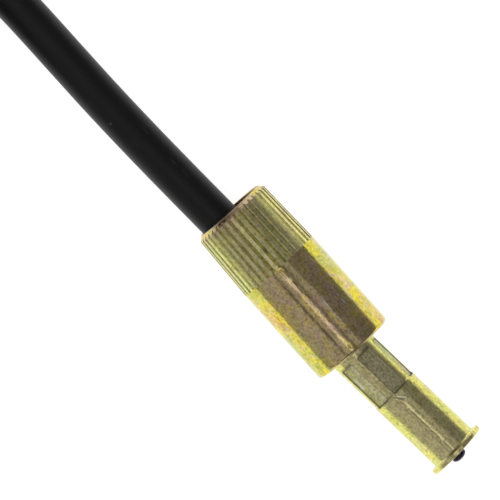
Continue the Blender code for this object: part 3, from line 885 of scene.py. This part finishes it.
class Shop:
    """The finishes and trees that every sub-assembly is made with."""

    def __init__(self) -> None:
        """Builds each of them once."""
        self.knurl = knurl_tree()
        self.thread = thread_tree()
        self.panels = panel_tree()
        self.winding = winding_tree()
        groups = FinishGroups()
        # Thin lines laid into the nut's colour: a pale broken line, a pale bluish line, a dark line by the knurl, and
        # a dark painted reflection streak.
        nut_line_marks = (
            (77.5, -2.4, -13.2, 0.026, 0.4, (0.9, 0.86, 0.76)),
            (57.0, -7.2, -10.6, 0.035, 0.38, (0.74, 0.76, 0.82)),
            (90.5, -13.0, -18.4, 0.03, 0.4, (0.1, 0.07, 0.04)),
            # A painted reflection: the long dark streak along the barrel.
            (103.5, -1.5, -17.5, 0.045, 0.42, (0.3, 0.22, 0.13)),
        )
        seam = ((96.5, -1.5, -14.6, 0.045, 0.36, (0.28, 0.24, 0.12)),)
        plated = (
            YellowZinc("zinc_nut", line_marks=nut_line_marks),
            YellowZinc("zinc_gear_nut", film_size=0.26),
            YellowZinc("zinc_ferrule", pale=0.6, rose=0.5, roughness=0.22, line_marks=seam),
            YellowZinc("zinc_gear_ferrule", pale=0.55, rose=0.3, roughness=0.16),
        )
        self.nut, self.gear_nut, self.ferrule, self.gear_ferrule = (finish.build(groups) for finish in plated)
        drawn = ((0.6, 0.6, 0.58), (0.42, 0.42, 0.41), 1.0, 0.32, 6.0)
        soft = ((0.03, 0.03, 0.03), (0.018, 0.018, 0.018), 0.0, 0.6, 4.0)
        plain = (
            PlainFinish("blackened_steel", (0.05, 0.04, 0.055), (0.022, 0.018, 0.026), 0.9, 0.36, 4.0),
            PlainFinish("drawn_steel", *drawn),
            PlainFinish("turned_brass", (0.68, 0.5, 0.22), (0.5, 0.36, 0.15), 1.0, 0.3, 5.0),
            PlainFinish("tie_nylon", (0.8, 0.78, 0.72), (0.7, 0.68, 0.62), 0.0, 0.45, 1.5),
            PlainFinish("black_rubber", *soft),
        )
        self.black, self.steel, self.brass, self.nylon, self.rubber = (finish.build(groups) for finish in plain)
        self.sheath = BlackSheath().build(groups)
        inner = {
            Slot.STEEL: ("inner_steel", *drawn),
            Slot.NYLON: ("inner_nylon", (0.82, 0.8, 0.74), (0.72, 0.7, 0.64), 0.0, 0.45, 2.0),
            Slot.RUBBER: ("inner_rubber", *soft),
            Slot.SHEATH: ("inner_sheath", (0.014, 0.014, 0.016), (0.008, 0.008, 0.009), 0.0, 0.45, 3.0),
        }
        self.cad = {slot: PlainFinish(*values, on_cad_node=True).build(groups) for slot, values in inner.items()}


# ---- coupling nuts ----


@dataclass
class CouplingNut:
    """A turned nut: threaded mouth, web, roomy skirt, and a straight knurl at its rear."""

    node: str
    body: Body
    seat: Seat
    finish: bpy.types.Material
    length: float
    rim_r: float
    knurl_start: float
    knurl_count: int
    thread_r: float
    thread_depth: float
    web_hole_r: float
    skirt_r: float
    front: float = 0.0
    outer_r: float = 7.5
    rear_r: float = 7.1
    rear_chamfer: float = 0.85
    corner: float = 0.65
    knurl_depth: float = 0.38
    knurl_mouth: float = 0.5
    thread_mouth: float = 0.6
    thread_pitch: float = 0.977
    thread_cut: float = 0.5
    web_thick: float = 2.0
    sides_per_groove: int = 12
    nicks: list[Mark] = field(default_factory=list)

    def outline(self) -> Outline:
        """The nut's outline, with rows where its surface is cut."""
        back = self.front - self.length
        web_front = self.front - self.thread_depth
        web_back = web_front - self.web_thick
        knurl = self.front - self.knurl_start
        chamfer_x = back + self.rear_chamfer
        thread_rows = round(self.thread_depth / self.thread_pitch * 14)
        made = Outline(self.front, self.outer_r - self.corner - 0.12)
        made.arc(self.front - self.corner, self.outer_r - self.corner, self.corner, 0.0, 90.0, 8)
        near = min(2.6, (self.front - self.corner - knurl) / 2.0)
        made.to(self.front - self.corner - near, self.outer_r, 12)
        made.to(knurl + 0.8, self.outer_r, 6).to(knurl + 0.012, self.outer_r, 5)
        made.to(knurl - 0.012, self.outer_r)
        made.to(knurl - 0.25, self.outer_r - 0.01).to(chamfer_x + 0.3, self.rear_r, 6)
        made.to(chamfer_x, self.rear_r, 2).to(back + 0.12, self.rim_r + 0.1, 4).to(back, self.rim_r)
        made.to(back, self.skirt_r + 0.1).to(back + 0.1, self.skirt_r)
        made.to(web_back + 0.02, self.skirt_r, 4).to(web_back, self.skirt_r - 0.05)
        made.to(web_back, self.web_hole_r + 0.15).to(web_back + 0.15, self.web_hole_r)
        made.to(web_front - 0.15, self.web_hole_r).to(web_front, self.web_hole_r + 0.15)
        made.to(web_front, self.thread_r - 0.05).to(web_front + 0.1, self.thread_r)
        made.to(self.front - self.thread_mouth, self.thread_r, thread_rows)
        made.to(self.front, self.thread_r + self.thread_mouth, 3)
        return made

    def build(self, shop: Shop) -> bpy.types.Object:
        """Turns, threads and knurls the nut.

        Args:
            shop: the finishes and trees.

        Returns:
            The nut, in place.
        """
        piece = turned(f"{self.node}_knurled", self.outline(), self.knurl_count * self.sides_per_groove)
        thread = {
            "Pitch": self.thread_pitch,
            "Depth": self.thread_cut,
            "Front": self.front - self.thread_mouth * 0.5,
            "Rear": self.front - self.thread_depth + 0.3,
            "Most radius": self.thread_r + self.thread_mouth * 0.7,
        }
        knurl = {
            "Count": self.knurl_count,
            "Depth": self.knurl_depth,
            "Mouth": self.knurl_mouth,
            "Front": self.front - self.knurl_start,
            "Rear": self.front - self.length + self.rear_chamfer,
            "Crest at front": self.outer_r,
            "Crest at rear": self.rear_r,
            "Least radius": self.rim_r,
        }
        shaped(piece, shop.thread, self.finish, thread)
        shaped(piece, shop.knurl, self.finish, knurl)
        for nick in self.nicks:
            nick.press(piece, self.outer_r)
        self.seat.settle(piece)
        return dressed(piece, self.finish, Slot.ZINC, self.body, self.node)


# ---- ferrules ----


@dataclass
class Ferrule:
    """A steel tube with a flange, crimped on to the cable's casing with six flat panels."""

    node: str
    seat: Seat
    finish: bpy.types.Material
    length: float
    flange_r: float
    flange_thick: float
    spigot_length: float = 0.0
    bore_r: float = 3.6
    tube_r: float = 4.36
    crimped_r: float = 4.23
    crimp_front: float = 14.6
    crimp_length: float = 8.6
    panel_width: float = 2.8
    panel_floor: float = 3.83
    panel_turn: float = math.radians(90.0 - 14.8)
    panel_count: int = 6
    panel_ease: float = 0.09
    fillet: float = 0.5
    edge: float = 0.16
    sides: int = 288
    marks: list[Mark] = field(default_factory=list)

    def spigot(self) -> Outline:
        """The outline ahead of the flange: its flat front face, or the spigot and its groove."""
        if self.spigot_length == 0.0:
            return Outline(0.0, self.bore_r + 0.12)
        spigot_r = self.tube_r + 0.24
        made = Outline(self.spigot_length, self.bore_r + 0.12)
        made.to(self.spigot_length, spigot_r - 0.18).to(self.spigot_length - 0.18, spigot_r)
        made.to(3.2, spigot_r).to(3.2, spigot_r - 0.5, 2).to(1.2, spigot_r - 0.5, 3).to(1.2, spigot_r, 2)
        return made.to(0.06, spigot_r).to(0.0, spigot_r + 0.06)

    def outline(self) -> Outline:
        """The whole outline."""
        made = self.spigot()
        made.to(0.0, self.flange_r - self.edge)
        made.arc(-self.edge, self.flange_r - self.edge, self.edge, 0.0, 90.0, 4)
        made.arc(self.edge - self.flange_thick, self.flange_r - self.edge, self.edge, 90.0, 180.0, 4)
        made.arc(
            -self.flange_thick - self.fillet, self.tube_r + self.fillet, self.fillet, 0.0, -90.0, 8
        )
        panel_front, panel_rear = -self.crimp_front, -self.crimp_front - self.crimp_length
        made.to(panel_front + 2.6, self.tube_r, 5).to(panel_front + 0.03, self.tube_r, 14)
        made.to(panel_front - 0.05, self.tube_r)
        made.to(panel_front - 0.3, self.crimped_r, 2).to(panel_rear + 0.05, self.crimped_r, 34)
        made.to(panel_rear - 0.03, self.crimped_r).to(-self.length + 1.5, self.crimped_r, 3)
        made.to(-self.length + 0.12, self.crimped_r - 0.26, 3).to(-self.length, self.crimped_r - 0.38)
        made.to(-self.length, self.bore_r + 0.05).to(-self.length + 0.05, self.bore_r)
        return made.to(self.spigot_length - 0.12, self.bore_r, 4)

    def build(self, shop: Shop) -> bpy.types.Object:
        """Turns the tube and presses its panels.

        Args:
            shop: the finishes and trees.

        Returns:
            The ferrule, in place.
        """
        piece = turned(f"{self.node}_crimped", self.outline(), self.sides)
        panels = {
            "Count": self.panel_count,
            "First": self.panel_turn,
            "Width": self.panel_width,
            "Floor": self.panel_floor,
            "Soften": self.panel_ease,
            "Front": -self.crimp_front,
            "Rear": -self.crimp_front - self.crimp_length,
            "Least radius": self.bore_r + 0.1,
        }
        shaped(piece, shop.panels, self.finish, panels)
        for stamp in self.marks:
            stamp.press(piece, self.panel_floor if stamp.x < -self.crimp_front else self.tube_r)
        self.seat.settle(piece, 24.0)
        return dressed(piece, self.finish, Slot.ZINC, Body.CASING, self.node)


# ---- core pieces ----


@dataclass
class CoreEnd:
    """What shows and hides inside one ferrule: bush, tip, wound core and wound conduit."""

    prefix: str
    seat: Seat
    body: Body
    length: float
    tip_r: float
    core_r: float = 1.35
    sag: float = 0.35
    tip_back: float = -8.6
    wire: float = 0.56
    casing_front: float = -14.2
    strip_thick: float = 0.33
    strip_wide: float = 1.1
    conduit_r: float = 2.75

    def core_seat(self) -> Seat:
        """The core lies a little to one side in its bush."""
        return Seat(self.seat.origin + Vector((0.0, -self.sag * MM, 0.0)))

    def bush(self, shop: Shop) -> None:
        """The brass bush, with a counterbored mouth."""
        hole = self.tip_r + self.sag + 0.25
        made = Outline(-0.5, hole + 0.3).to(-0.5, 3.1).arc(-0.75, 3.1, 0.25, 0.0, 90.0, 4)
        made.to(-7.25, 3.35, 2).to(-7.5, 3.1).to(-7.5, hole + 0.1).to(-7.4, hole)
        made.to(-0.8, hole, 2)
        node = self.prefix + "core_bush"
        piece = self.seat.settle(turned(node + "_turned", made, 96))
        dressed(piece, shop.brass, Slot.BRASS, Body.CASING, node)

    def domed_tip(self, shop: Shop) -> None:
        """The dial end's round, domed nub, with a turned shoulder line."""
        radius, back, front, steps = self.core_r, self.tip_back, 1.35, 8
        dome = radius * 0.55
        made = Outline(back, 0.0).to(back, radius - 0.15).to(back + 0.15, radius).to(front - dome, radius, 4)
        for i in range(1, steps + 1):
            angle = math.pi / 2.0 * (1.0 - i / steps)
            made.to(front - dome * (1.0 - math.cos(angle)), radius * math.sin(angle))
        made.points.reverse()
        piece = self.core_seat().settle(turned("core_tip_turned", made, 64))
        dressed(piece, shop.black, Slot.BLACK_STEEL, self.body, "core_tip")

    def square_tip(self, shop: Shop) -> None:
        """The gearbox end's square drive, with eased edges and a chamfered point."""
        half, back, front = 1.25, self.tip_back, 12.0
        shape = bmesh.new()
        size = Matrix.Diagonal((front - back, half * 2.0, half * 2.0, 1.0))
        turn = Matrix.Rotation(math.pi / 4.0, 4, "X")
        middle = Matrix.Translation(((front + back) / 2.0, 0.0, 0.0))
        bmesh.ops.create_cube(shape, size=1.0, matrix=middle @ turn @ size)
        ends = [e for e in shape.edges if all(v.co.x > front - 0.1 for v in e.verts)]
        eased(shape, ends, 0.4, 2)
        sides = [e for e in shape.edges if abs(e.verts[0].co.x - e.verts[1].co.x) > 5.0]
        eased(shape, sides, 0.16, 3)
        piece = self.core_seat().settle(from_bmesh("gear_drive_tip_ground", shape))
        dressed(piece, shop.black, Slot.BLACK_STEEL, self.body, "gear_drive_tip")

    def wound(self, shop: Shop) -> None:
        """The wound core and the wound conduit that lie in the ferrule's rear."""
        front, back = -8.9, -self.length + 1.7
        heart_r = self.core_r - self.wire - 0.02
        heart = Outline(front, 0.0).to(front, heart_r).to(back, heart_r, 2).to(back, 0.0)
        heart.points.reverse()
        node = self.prefix + "core_stub"
        piece = turned(node + "_wound", heart, 24)
        wires = {"Radius": self.core_r - self.wire / 2.0, "Pitch": 3.1, "Wires": 5}
        section = {"Thick": self.wire, "Wide": self.wire}
        wind(piece, shop, front - 0.15, heart_r + 0.01, {"Length": front - back - 0.3, **wires, **section})
        self.core_seat().settle(piece)
        dressed(piece, shop.steel, Slot.STEEL, self.body, node)

        front, back = self.casing_front, -self.length + 0.2
        thick, wide, outer = self.strip_thick, self.strip_wide, self.conduit_r
        liner_r = outer - 0.28
        liner = Outline(front, outer - thick).to(front, liner_r).to(back, liner_r).to(back, outer - thick)
        node = self.prefix + "conduit_end"
        piece = turned(node + "_wound", liner, 48)
        strip = {"Radius": outer - thick / 2.0, "Pitch": 1.25, "Wires": 1, "Thick": thick, "Wide": wide}
        wind(piece, shop, front - wide / 2.0, liner_r + 0.001, {"Length": front - back - wide, **strip})
        self.seat.settle(piece)
        dressed(piece, shop.steel, Slot.STEEL, Body.CASING, node)


def wind(piece: bpy.types.Object, shop: Shop, front: float, heart_r: float, sizes: dict[str, float]) -> None:
    """Winds wires on a turned heart, which run back from their front end.

    Args:
        piece: the heart, which lies within heart_r and stays where it is.
        shop: the finishes and trees.
        front: where the wires start.
        heart_r: the radius that every point of the wires is beyond.
        sizes: the winding's sizes.
    """
    shaped(piece, shop.winding, shop.steel, sizes)
    for vert in piece.data.vertices:
        if math.hypot(vert.co.y, vert.co.z) > heart_r:
            vert.co.x += front


# ---- the cable ----


@dataclass
class Cable:
    """The sheathed cable: out of the ferrule, round its coil, and to the gearbox end."""

    flange: Vector
    radius: float = 3.53
    ferrule_length: float = 26.5
    axis_height: float = 7.5
    coil_x: float = -134.2
    coil_y: float = -35.5
    coil_mean_r: float = 35.3
    coil_height: float = 9.62
    gear_face_x: float = -64.0
    gear_axis_y: float = -71.9
    gear_ferrule_length: float = 26.0
    turns: float = 3.5
    points_a_turn: int = 24
    step: float = 1.6
    rounds: int = 28
    end_ease: float = 0.25

    def route(self) -> list[Vector]:
        """The route's own points, in millimetres from the flange's face and above the bench."""
        r = self.radius
        lift = self.axis_height - r
        out = [
            (-26.6, 0.0, lift),
            (-30.3, 0.0, lift),
            (-35.0, 0.05, lift),
            (-45.0, 0.2, lift),
            (-56.0, 0.5, lift - 0.05),
            (-64.0, 0.75, 3.2),
            (-73.3, 1.1, 1.9),
            (-83.4, 1.63, 0.7),
            (-92.0, 2.25, 0.15),
            (-100.0, 2.85, 0.05),
            (-106.0, 3.2, 0.3),
            (-113.0, 3.33, 1.0),
            (-122.0, 3.33, 1.9),
        ]
        made = [Vector((x, y, z + r)) for x, y, z in out]
        offset = r * math.sqrt(2.0)
        steps = round(self.turns * self.points_a_turn)
        for i in range(steps + 1):
            turn = i / self.points_a_turn
            round_coil = math.radians(90.0 + 360.0 * turn)
            round_bundle = math.radians(-45.0 - 90.0 * turn)
            away = self.coil_mean_r + offset * math.cos(round_bundle)
            x, y = self.coil_x + away * math.cos(round_coil), self.coil_y + away * math.sin(round_coil)
            made.append(Vector((x, y, self.coil_height + offset * math.sin(round_bundle))))
        end_x = self.gear_face_x - self.gear_ferrule_length - 0.1
        home = [
            (-121.0, -75.75, 9.55),
            (-111.0, -75.4, 9.3),
            (-103.5, -74.3, 8.83),
            (-98.5, -72.7, 7.93),
            (end_x - 3.6, self.gear_axis_y, self.axis_height),
            (end_x, self.gear_axis_y, self.axis_height),
        ]
        return made + [Vector(point) for point in home]

    def line(self) -> list[Vector]:
        """Points on a smooth curve through the route, about as far apart as the step."""
        points = self.route()
        ahead = [points[1] - points[0]]
        ahead += [c - a for a, c in zip(points, points[2:])]
        ahead.append(points[-1] - points[-2])
        made = [points[0]]
        for i in range(len(points) - 1):
            start, end = points[i], points[i + 1]
            reach = (end - start).length
            first, last = ahead[i].normalized() * reach, ahead[i + 1].normalized() * reach
            steps = max(2, round(reach / self.step))
            for k in range(1, steps + 1):
                t = k / steps
                made.append(
                    start * (2 * t**3 - 3 * t**2 + 1)
                    + first * (t**3 - 2 * t**2 + t)
                    + end * (3 * t**2 - 2 * t**3)
                    + last * (t**3 - t**2)
                )
        return made

    def build(self, shop: Shop, with_pieces: list[str]) -> bpy.types.Object:
        """Args:
            shop: the finishes and trees.
            with_pieces: the names of the pieces that are on the cable; not used.

        Returns:
            The cable, in place.
        """
        line = self.line()
        shape = bmesh.new()
        own = shape.verts.layers.float_vector.new("own")
        ways = [(b - a).normalized() for a, b in zip(line, line[1:])]
        ways = [ways[0]] + [(a + b).normalized() for a, b in zip(ways, ways[1:])] + [ways[-1]]
        side = Vector((0.0, 0.0, 1.0))
        along = 0.0
        rings = []
        for i, (place, way) in enumerate(zip(line, ways)):
            if i:
                along += (place - line[i - 1]).length
                turn: Quaternion = ways[i - 1].rotation_difference(way)
                side = turn @ side
            side = (side - way * side.dot(way)).normalized()
            other = way.cross(side)
            eased = self.end_ease if i in (0, len(line) - 1) else 0.0
            ring = []
            for k in range(self.rounds):
                angle = math.tau * k / self.rounds
                out = side * math.cos(angle) + other * math.sin(angle)
                vert = shape.verts.new(place + out * (self.radius - eased))
                vert[own] = (along, self.radius * math.cos(angle), self.radius * math.sin(angle))
                ring.append(vert)
            rings.append(ring)
        for ring, after in zip(rings, rings[1:]):
            for k in range(self.rounds):
                n = (k + 1) % self.rounds
                shape.faces.new((ring[k], ring[n], after[n], after[k]))
        shape.faces.new(rings[0][::-1])
        shape.faces.new(rings[-1])
        bmesh.ops.recalc_face_normals(shape, faces=shape.faces)
        origin = Vector((self.flange.x, self.flange.y, 0.0))
        bmesh.ops.scale(shape, vec=(MM, MM, MM), verts=shape.verts)
        bmesh.ops.translate(shape, vec=origin, verts=shape.verts)
        piece = from_bmesh("cable", shape)
        piece.data.shade_smooth()
        piece.data.set_sharp_from_angle(angle=math.radians(50.0))
        dressed(piece, shop.sheath, Slot.SHEATH, Body.CASING, "cable_sheath", "cable_coil", "cable_tail")
        LOG.info("the cable is %.3f m long", along * MM)
        return piece


@dataclass
class CoilTie:
    """A nylon tie drawn round the coil's bundle, with its head on the coil's inner side."""

    number: int
    inner_r: float = 8.85
    thick: float = 0.75
    width: float = 3.9
    head: tuple[float, float, float] = (5.4, 5.0, 3.4)

    def build(self, shop: Shop) -> bpy.types.Object:
        """Makes the band, its teeth, its head and its cut tail."""
        node = f"coil_tie_{self.number}"
        place = middle_of(node)
        centre = middle_of("cable_coil")
        outwards = (place - centre).normalized()
        angle = math.atan2(outwards.y, outwards.x)
        half, inner, outer = self.width / 2.0, self.inner_r, self.inner_r + self.thick
        band = Outline(half, inner + 0.15).to(half, outer - 0.2).arc(half - 0.2, outer - 0.2, 0.2, 0.0, 90.0, 3)
        band.to(0.2 - half, outer, 3)
        band.arc(0.2 - half, outer - 0.2, 0.2, 90.0, 180.0, 3).to(-half, inner + 0.15).to(0.15 - half, inner)
        band.to(half - 0.15, inner, 2)
        piece = turned(f"{node}_strap", band, 96)
        shape = bmesh.new()
        shape.from_mesh(piece.data)
        long, wide, high = self.head
        away = outer + high / 2.0 - 0.5
        head_size = Matrix.Diagonal((wide, high, long, 1.0))
        tail_size = Matrix.Diagonal((self.width * 0.95, self.thick, 7.0, 1.0))
        tail_size = Matrix.Rotation(math.radians(14.0), 4, "X") @ tail_size
        for middle, size, offset, segments in (
            ((0.0, -away, 0.0), head_size, 0.5, 3),
            ((0.0, -away - 0.9, -5.2), tail_size, 0.2, 2),
        ):
            block = bmesh.ops.create_cube(shape, size=1.0, matrix=Matrix.Translation(middle) @ size)
            eased(shape, {e for v in block["verts"] for e in v.link_edges}, offset, segments)
        shape.to_mesh(piece.data)
        shape.free()
        Seat(place, angle + math.pi * 1.5).settle(piece)
        return dressed(piece, shop.nylon, Slot.NYLON, Body.CASING, node)


# ---- sub-assemblies ----


class InstrumentEnd:
    """The end for the dial: loose nut, flanged ferrule and the core's domed nub."""

    def __init__(self) -> None:
        """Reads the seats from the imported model."""
        low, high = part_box("ferrule")
        self.flange = Vector((high.x, (low.y + high.y) / 2.0, (low.z + high.z) / 2.0))
        spin = joint("nut_spin")
        axis = Vector(spin["axis"])
        self.nut_seat = Seat(Vector(spin["pos_m"]), math.atan2(axis.y, axis.x))

    def build(self, shop: Shop) -> None:
        """Makes each of the end's pieces."""
        CouplingNut(
            node="coupling_nut",
            body=Body.NUT,
            seat=self.nut_seat,
            finish=shop.nut,
            length=31.2,
            rim_r=6.3,
            knurl_start=18.85,
            knurl_count=36,
            thread_r=5.7,
            thread_depth=6.5,
            web_hole_r=5.1,
            skirt_r=5.95,
            nicks=[
                Mark(-1.4, 91.0, 0.14, 0.12),
                Mark(-1.2, 92.8, 0.12, -0.06),
                Mark(-18.3, 93.0, 0.2, 0.1),
                Mark(-5.2, 118.0, 0.3, 0.05),
            ],
        ).build(shop)
        Ferrule(
            node="ferrule",
            seat=Seat(self.flange),
            finish=shop.ferrule,
            length=26.5,
            flange_r=5.4,
            flange_thick=0.8,
            marks=[
                # Painted highlight on the raised marks and painted shade in the dents beside them: a wedge on the
                # tube's upper side, and a bright slanted fold at the crimp's front corner.
                *[Mark(-18.9 - 0.45 * step, 145.0, 0.36, -0.1, "painted_highlight") for step in range(5)],
                *[Mark(-19.4 - 0.3 * step, 149.0, 0.2, 0.06, "crease_shade") for step in range(4)],
                *[Mark(-14.3 + 0.18 * step, 97.5 - 1.9 * step, 0.18, -0.13, "painted_highlight") for step in range(9)],
                *[Mark(-14.3 + 0.18 * step, 102.0 - 1.9 * step, 0.15, 0.06, "crease_shade") for step in range(9)],
                Mark(-17.0, 100.0, 0.7, 0.08),
                Mark(-20.5, 98.0, 0.8, 0.07),
                Mark(-16.0, 128.0, 0.5, 0.06),
                Mark(-21.5, 130.0, 0.6, 0.06),
            ],
        ).build(shop)
        core = CoreEnd("", Seat(self.flange), Body.CORE, 26.5, 1.35)
        core.bush(shop)
        core.domed_tip(shop)
        core.wound(shop)


class GearboxEnd:
    """The end that lies beside the coil: shorter nut, spigoted ferrule and square drive."""

    PIECES = (
        "gear_coupling_nut_knurled",
        "gear_ferrule_crimped",
        "gear_o_ring_moulded",
        "gear_core_bush_turned",
        "gear_drive_tip_ground",
        "gear_core_stub_wound",
        "gear_conduit_end_wound",
        "gear_core_collar",
        "gear_core_washer",
        "gear_sheath_end",
        "gear_liner_end",
        "gear_nut_washer",
    )

    def __init__(self) -> None:
        """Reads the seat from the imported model."""
        low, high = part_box("gear_ferrule")
        middle = (low + high) / 2.0
        self.spigot = 5.0
        self.seat = Seat(Vector((high.x - self.spigot * MM, middle.y, middle.z)))

    def build(self, shop: Shop) -> None:
        """Makes each of the end's pieces."""
        CouplingNut(
            node="gear_coupling_nut",
            body=Body.GEAR_NUT,
            seat=self.seat,
            finish=shop.gear_nut,
            front=5.5,
            length=16.0,
            rim_r=6.25,
            knurl_start=3.5,
            knurl_count=30,
            thread_r=6.15,
            thread_depth=7.0,
            web_hole_r=4.86,
            skirt_r=5.66,
        ).build(shop)
        Ferrule(
            node="gear_ferrule",
            seat=self.seat,
            finish=shop.gear_ferrule,
            length=26.0,
            flange_r=5.9,
            flange_thick=1.2,
            fillet=0.1,
            spigot_length=self.spigot,
        ).build(shop)
        ring = Outline(2.65, 4.75)
        ring.arc(2.2, 4.75, 0.45, 15.0, 345.0, 22)
        piece = self.seat.settle(turned("gear_o_ring_moulded", ring, 96), 60.0)
        dressed(piece, shop.rubber, Slot.RUBBER, Body.CASING, "gear_o_ring")
        core = CoreEnd("gear_", self.seat, Body.GEAR_CORE, 26.0, 2.5 / math.sqrt(2.0))
        core.bush(shop)
        core.square_tip(shop)
        core.wound(shop)


def dress_inner_nodes(shop: Shop) -> None:
    """Gives the small CAD pieces that stay, deep inside the fittings, their finishes."""
    slots = {entry["node"]: entry["material_slot"] for entry in FRAME["record"]["subparts"]}
    for name, node in FRAME["nodes"].items():
        if node.hide_render:
            continue
        node.data.materials.clear()
        node.data.materials.append(shop.cad[Slot(slots[name])])
        LOG.info("%s keeps its CAD shape", name)


# ---- studio ----


class Studio:
    """The pale bench, the soft lights and the camera."""

    aim = Vector((-0.02074, -0.00094, 0.0))
    distance = 1.5
    lean = 0.075
    width = 0.0838
    roll = math.radians(43.6)

    def bench(self) -> None:
        """A wide pale surface under the object."""
        bpy.ops.mesh.primitive_plane_add(size=6.0, location=(0.0, 0.0, -0.0002))
        floor = bpy.context.object
        floor.name = "bench"
        shader = Shader("pale_bench")
        place = shader.sketch.read("ShaderNodeTexCoord", output="Object")
        shade = shader.sketch.ramp(
            shader.sketch.noise(place, 3.0, 2.0), (0.0, (0.34, 0.34, 0.34)), (1.0, (0.37, 0.37, 0.37))
        )
        glow = {"Emission_Color": (1.0, 1.0, 1.0, 1.0), "Emission_Strength": 0.86}
        made = shader.feed(Base_Color=shade, Roughness=0.9, Specular_IOR_Level=0.1, **glow)
        floor.data.materials.append(made)

    def light(
        self, name: str, place: Vector, aim: Vector, size: tuple[float, float], power: float, shines: bool
    ) -> None:
        """Adds a soft light.

        Args:
            name: its name.
            place: where it stands.
            aim: the point that it faces.
            size: its width, across the view, and its length, along the object.
            power: its strength in watts.
            shines: whether it shows as a highlight in the metal.
        """
        data = bpy.data.lights.new(name, "AREA")
        data.shape = "RECTANGLE"
        data.size, data.size_y = size
        data.energy = power
        lamp = bpy.data.objects.new(name, data)
        bpy.context.scene.collection.objects.link(lamp)
        towards = (aim - place).normalized()
        across = Vector((1.0, 0.0, 0.0)).cross(towards).normalized()
        along = towards.cross(across)
        lamp.matrix_world = Matrix.Translation(place) @ Matrix((across, along, -towards)).transposed().to_4x4()
        lamp.visible_glossy = shines
        lamp.visible_camera = False

    def world(self) -> None:
        """Dim surroundings for the metal to reflect, which look pale to the eye."""
        world = bpy.data.worlds.new("studio")
        world.use_nodes = True
        bpy.context.scene.world = world
        sketch = Sketch(world.node_tree)
        back = world.node_tree.nodes["Background"]
        seen = sketch.read("ShaderNodeLightPath", output="Is Camera Ray")
        sketch.feed(back.inputs["Color"], sketch.mix((0.205, 0.2, 0.2), (1.0, 1.0, 1.0), seen))

    def camera(self) -> None:
        """A long lens that looks straight down, leaning a little over the cable's side."""
        data = bpy.data.cameras.new("camera")
        data.lens = 36.0 * self.distance / self.width
        data.clip_start, data.clip_end = 0.1, 10.0
        camera = bpy.data.objects.new("camera", data)
        bpy.context.scene.collection.objects.link(camera)
        place = self.aim + Vector((-self.lean, 0.0, self.distance))
        away = (place - self.aim).normalized()
        right = Vector((math.cos(self.roll), math.sin(self.roll), 0.0))
        up = away.cross(right).normalized()
        right = up.cross(away)
        turn = Matrix((right, up, away)).transposed().to_4x4()
        camera.matrix_world = Matrix.Translation(place) @ turn
        bpy.context.scene.camera = camera

    def build(self) -> None:
        """Sets up the whole studio."""
        self.camera()
        self.bench()
        self.world()
        aim = Vector((-0.02, 0.0, 0.0))
        for name, place, size, power in (
            ("overhead", (0.0, 0.0, 1.2), (1.6, 1.6), 10.0),
            ("streak", (-0.02, -0.095, 1.0), (0.15, 1.6), 0.68),
            ("streak_skirt", (-0.02, -0.29, 0.955), (0.17, 1.6), 0.24),
            ("low_side", (-0.02, -0.848, 0.53), (1.13, 1.8), 1.75),
            ("far_skirt", (-0.02, 0.3, 0.95), (0.26, 1.6), 0.32),
        ):
            self.light(name, Vector(place), aim, size, power, shines=name != "overhead")
        bpy.context.scene.view_settings.view_transform = "Standard"


def main() -> None:
    """Builds every sub-assembly in order."""
    logging.basicConfig(level=logging.INFO, format="%(message)s")
    Studio().build()
    shop = Shop()
    dial = InstrumentEnd()
    dial.build(shop)
    GearboxEnd().build(shop)
    ties = [CoilTie(number).build(shop).name for number in (1, 2)]
    dress_inner_nodes(shop)
    Cable(dial.flange).build(shop, [*ties, *GearboxEnd.PIECES])


if __name__ == "__main__":
    main()
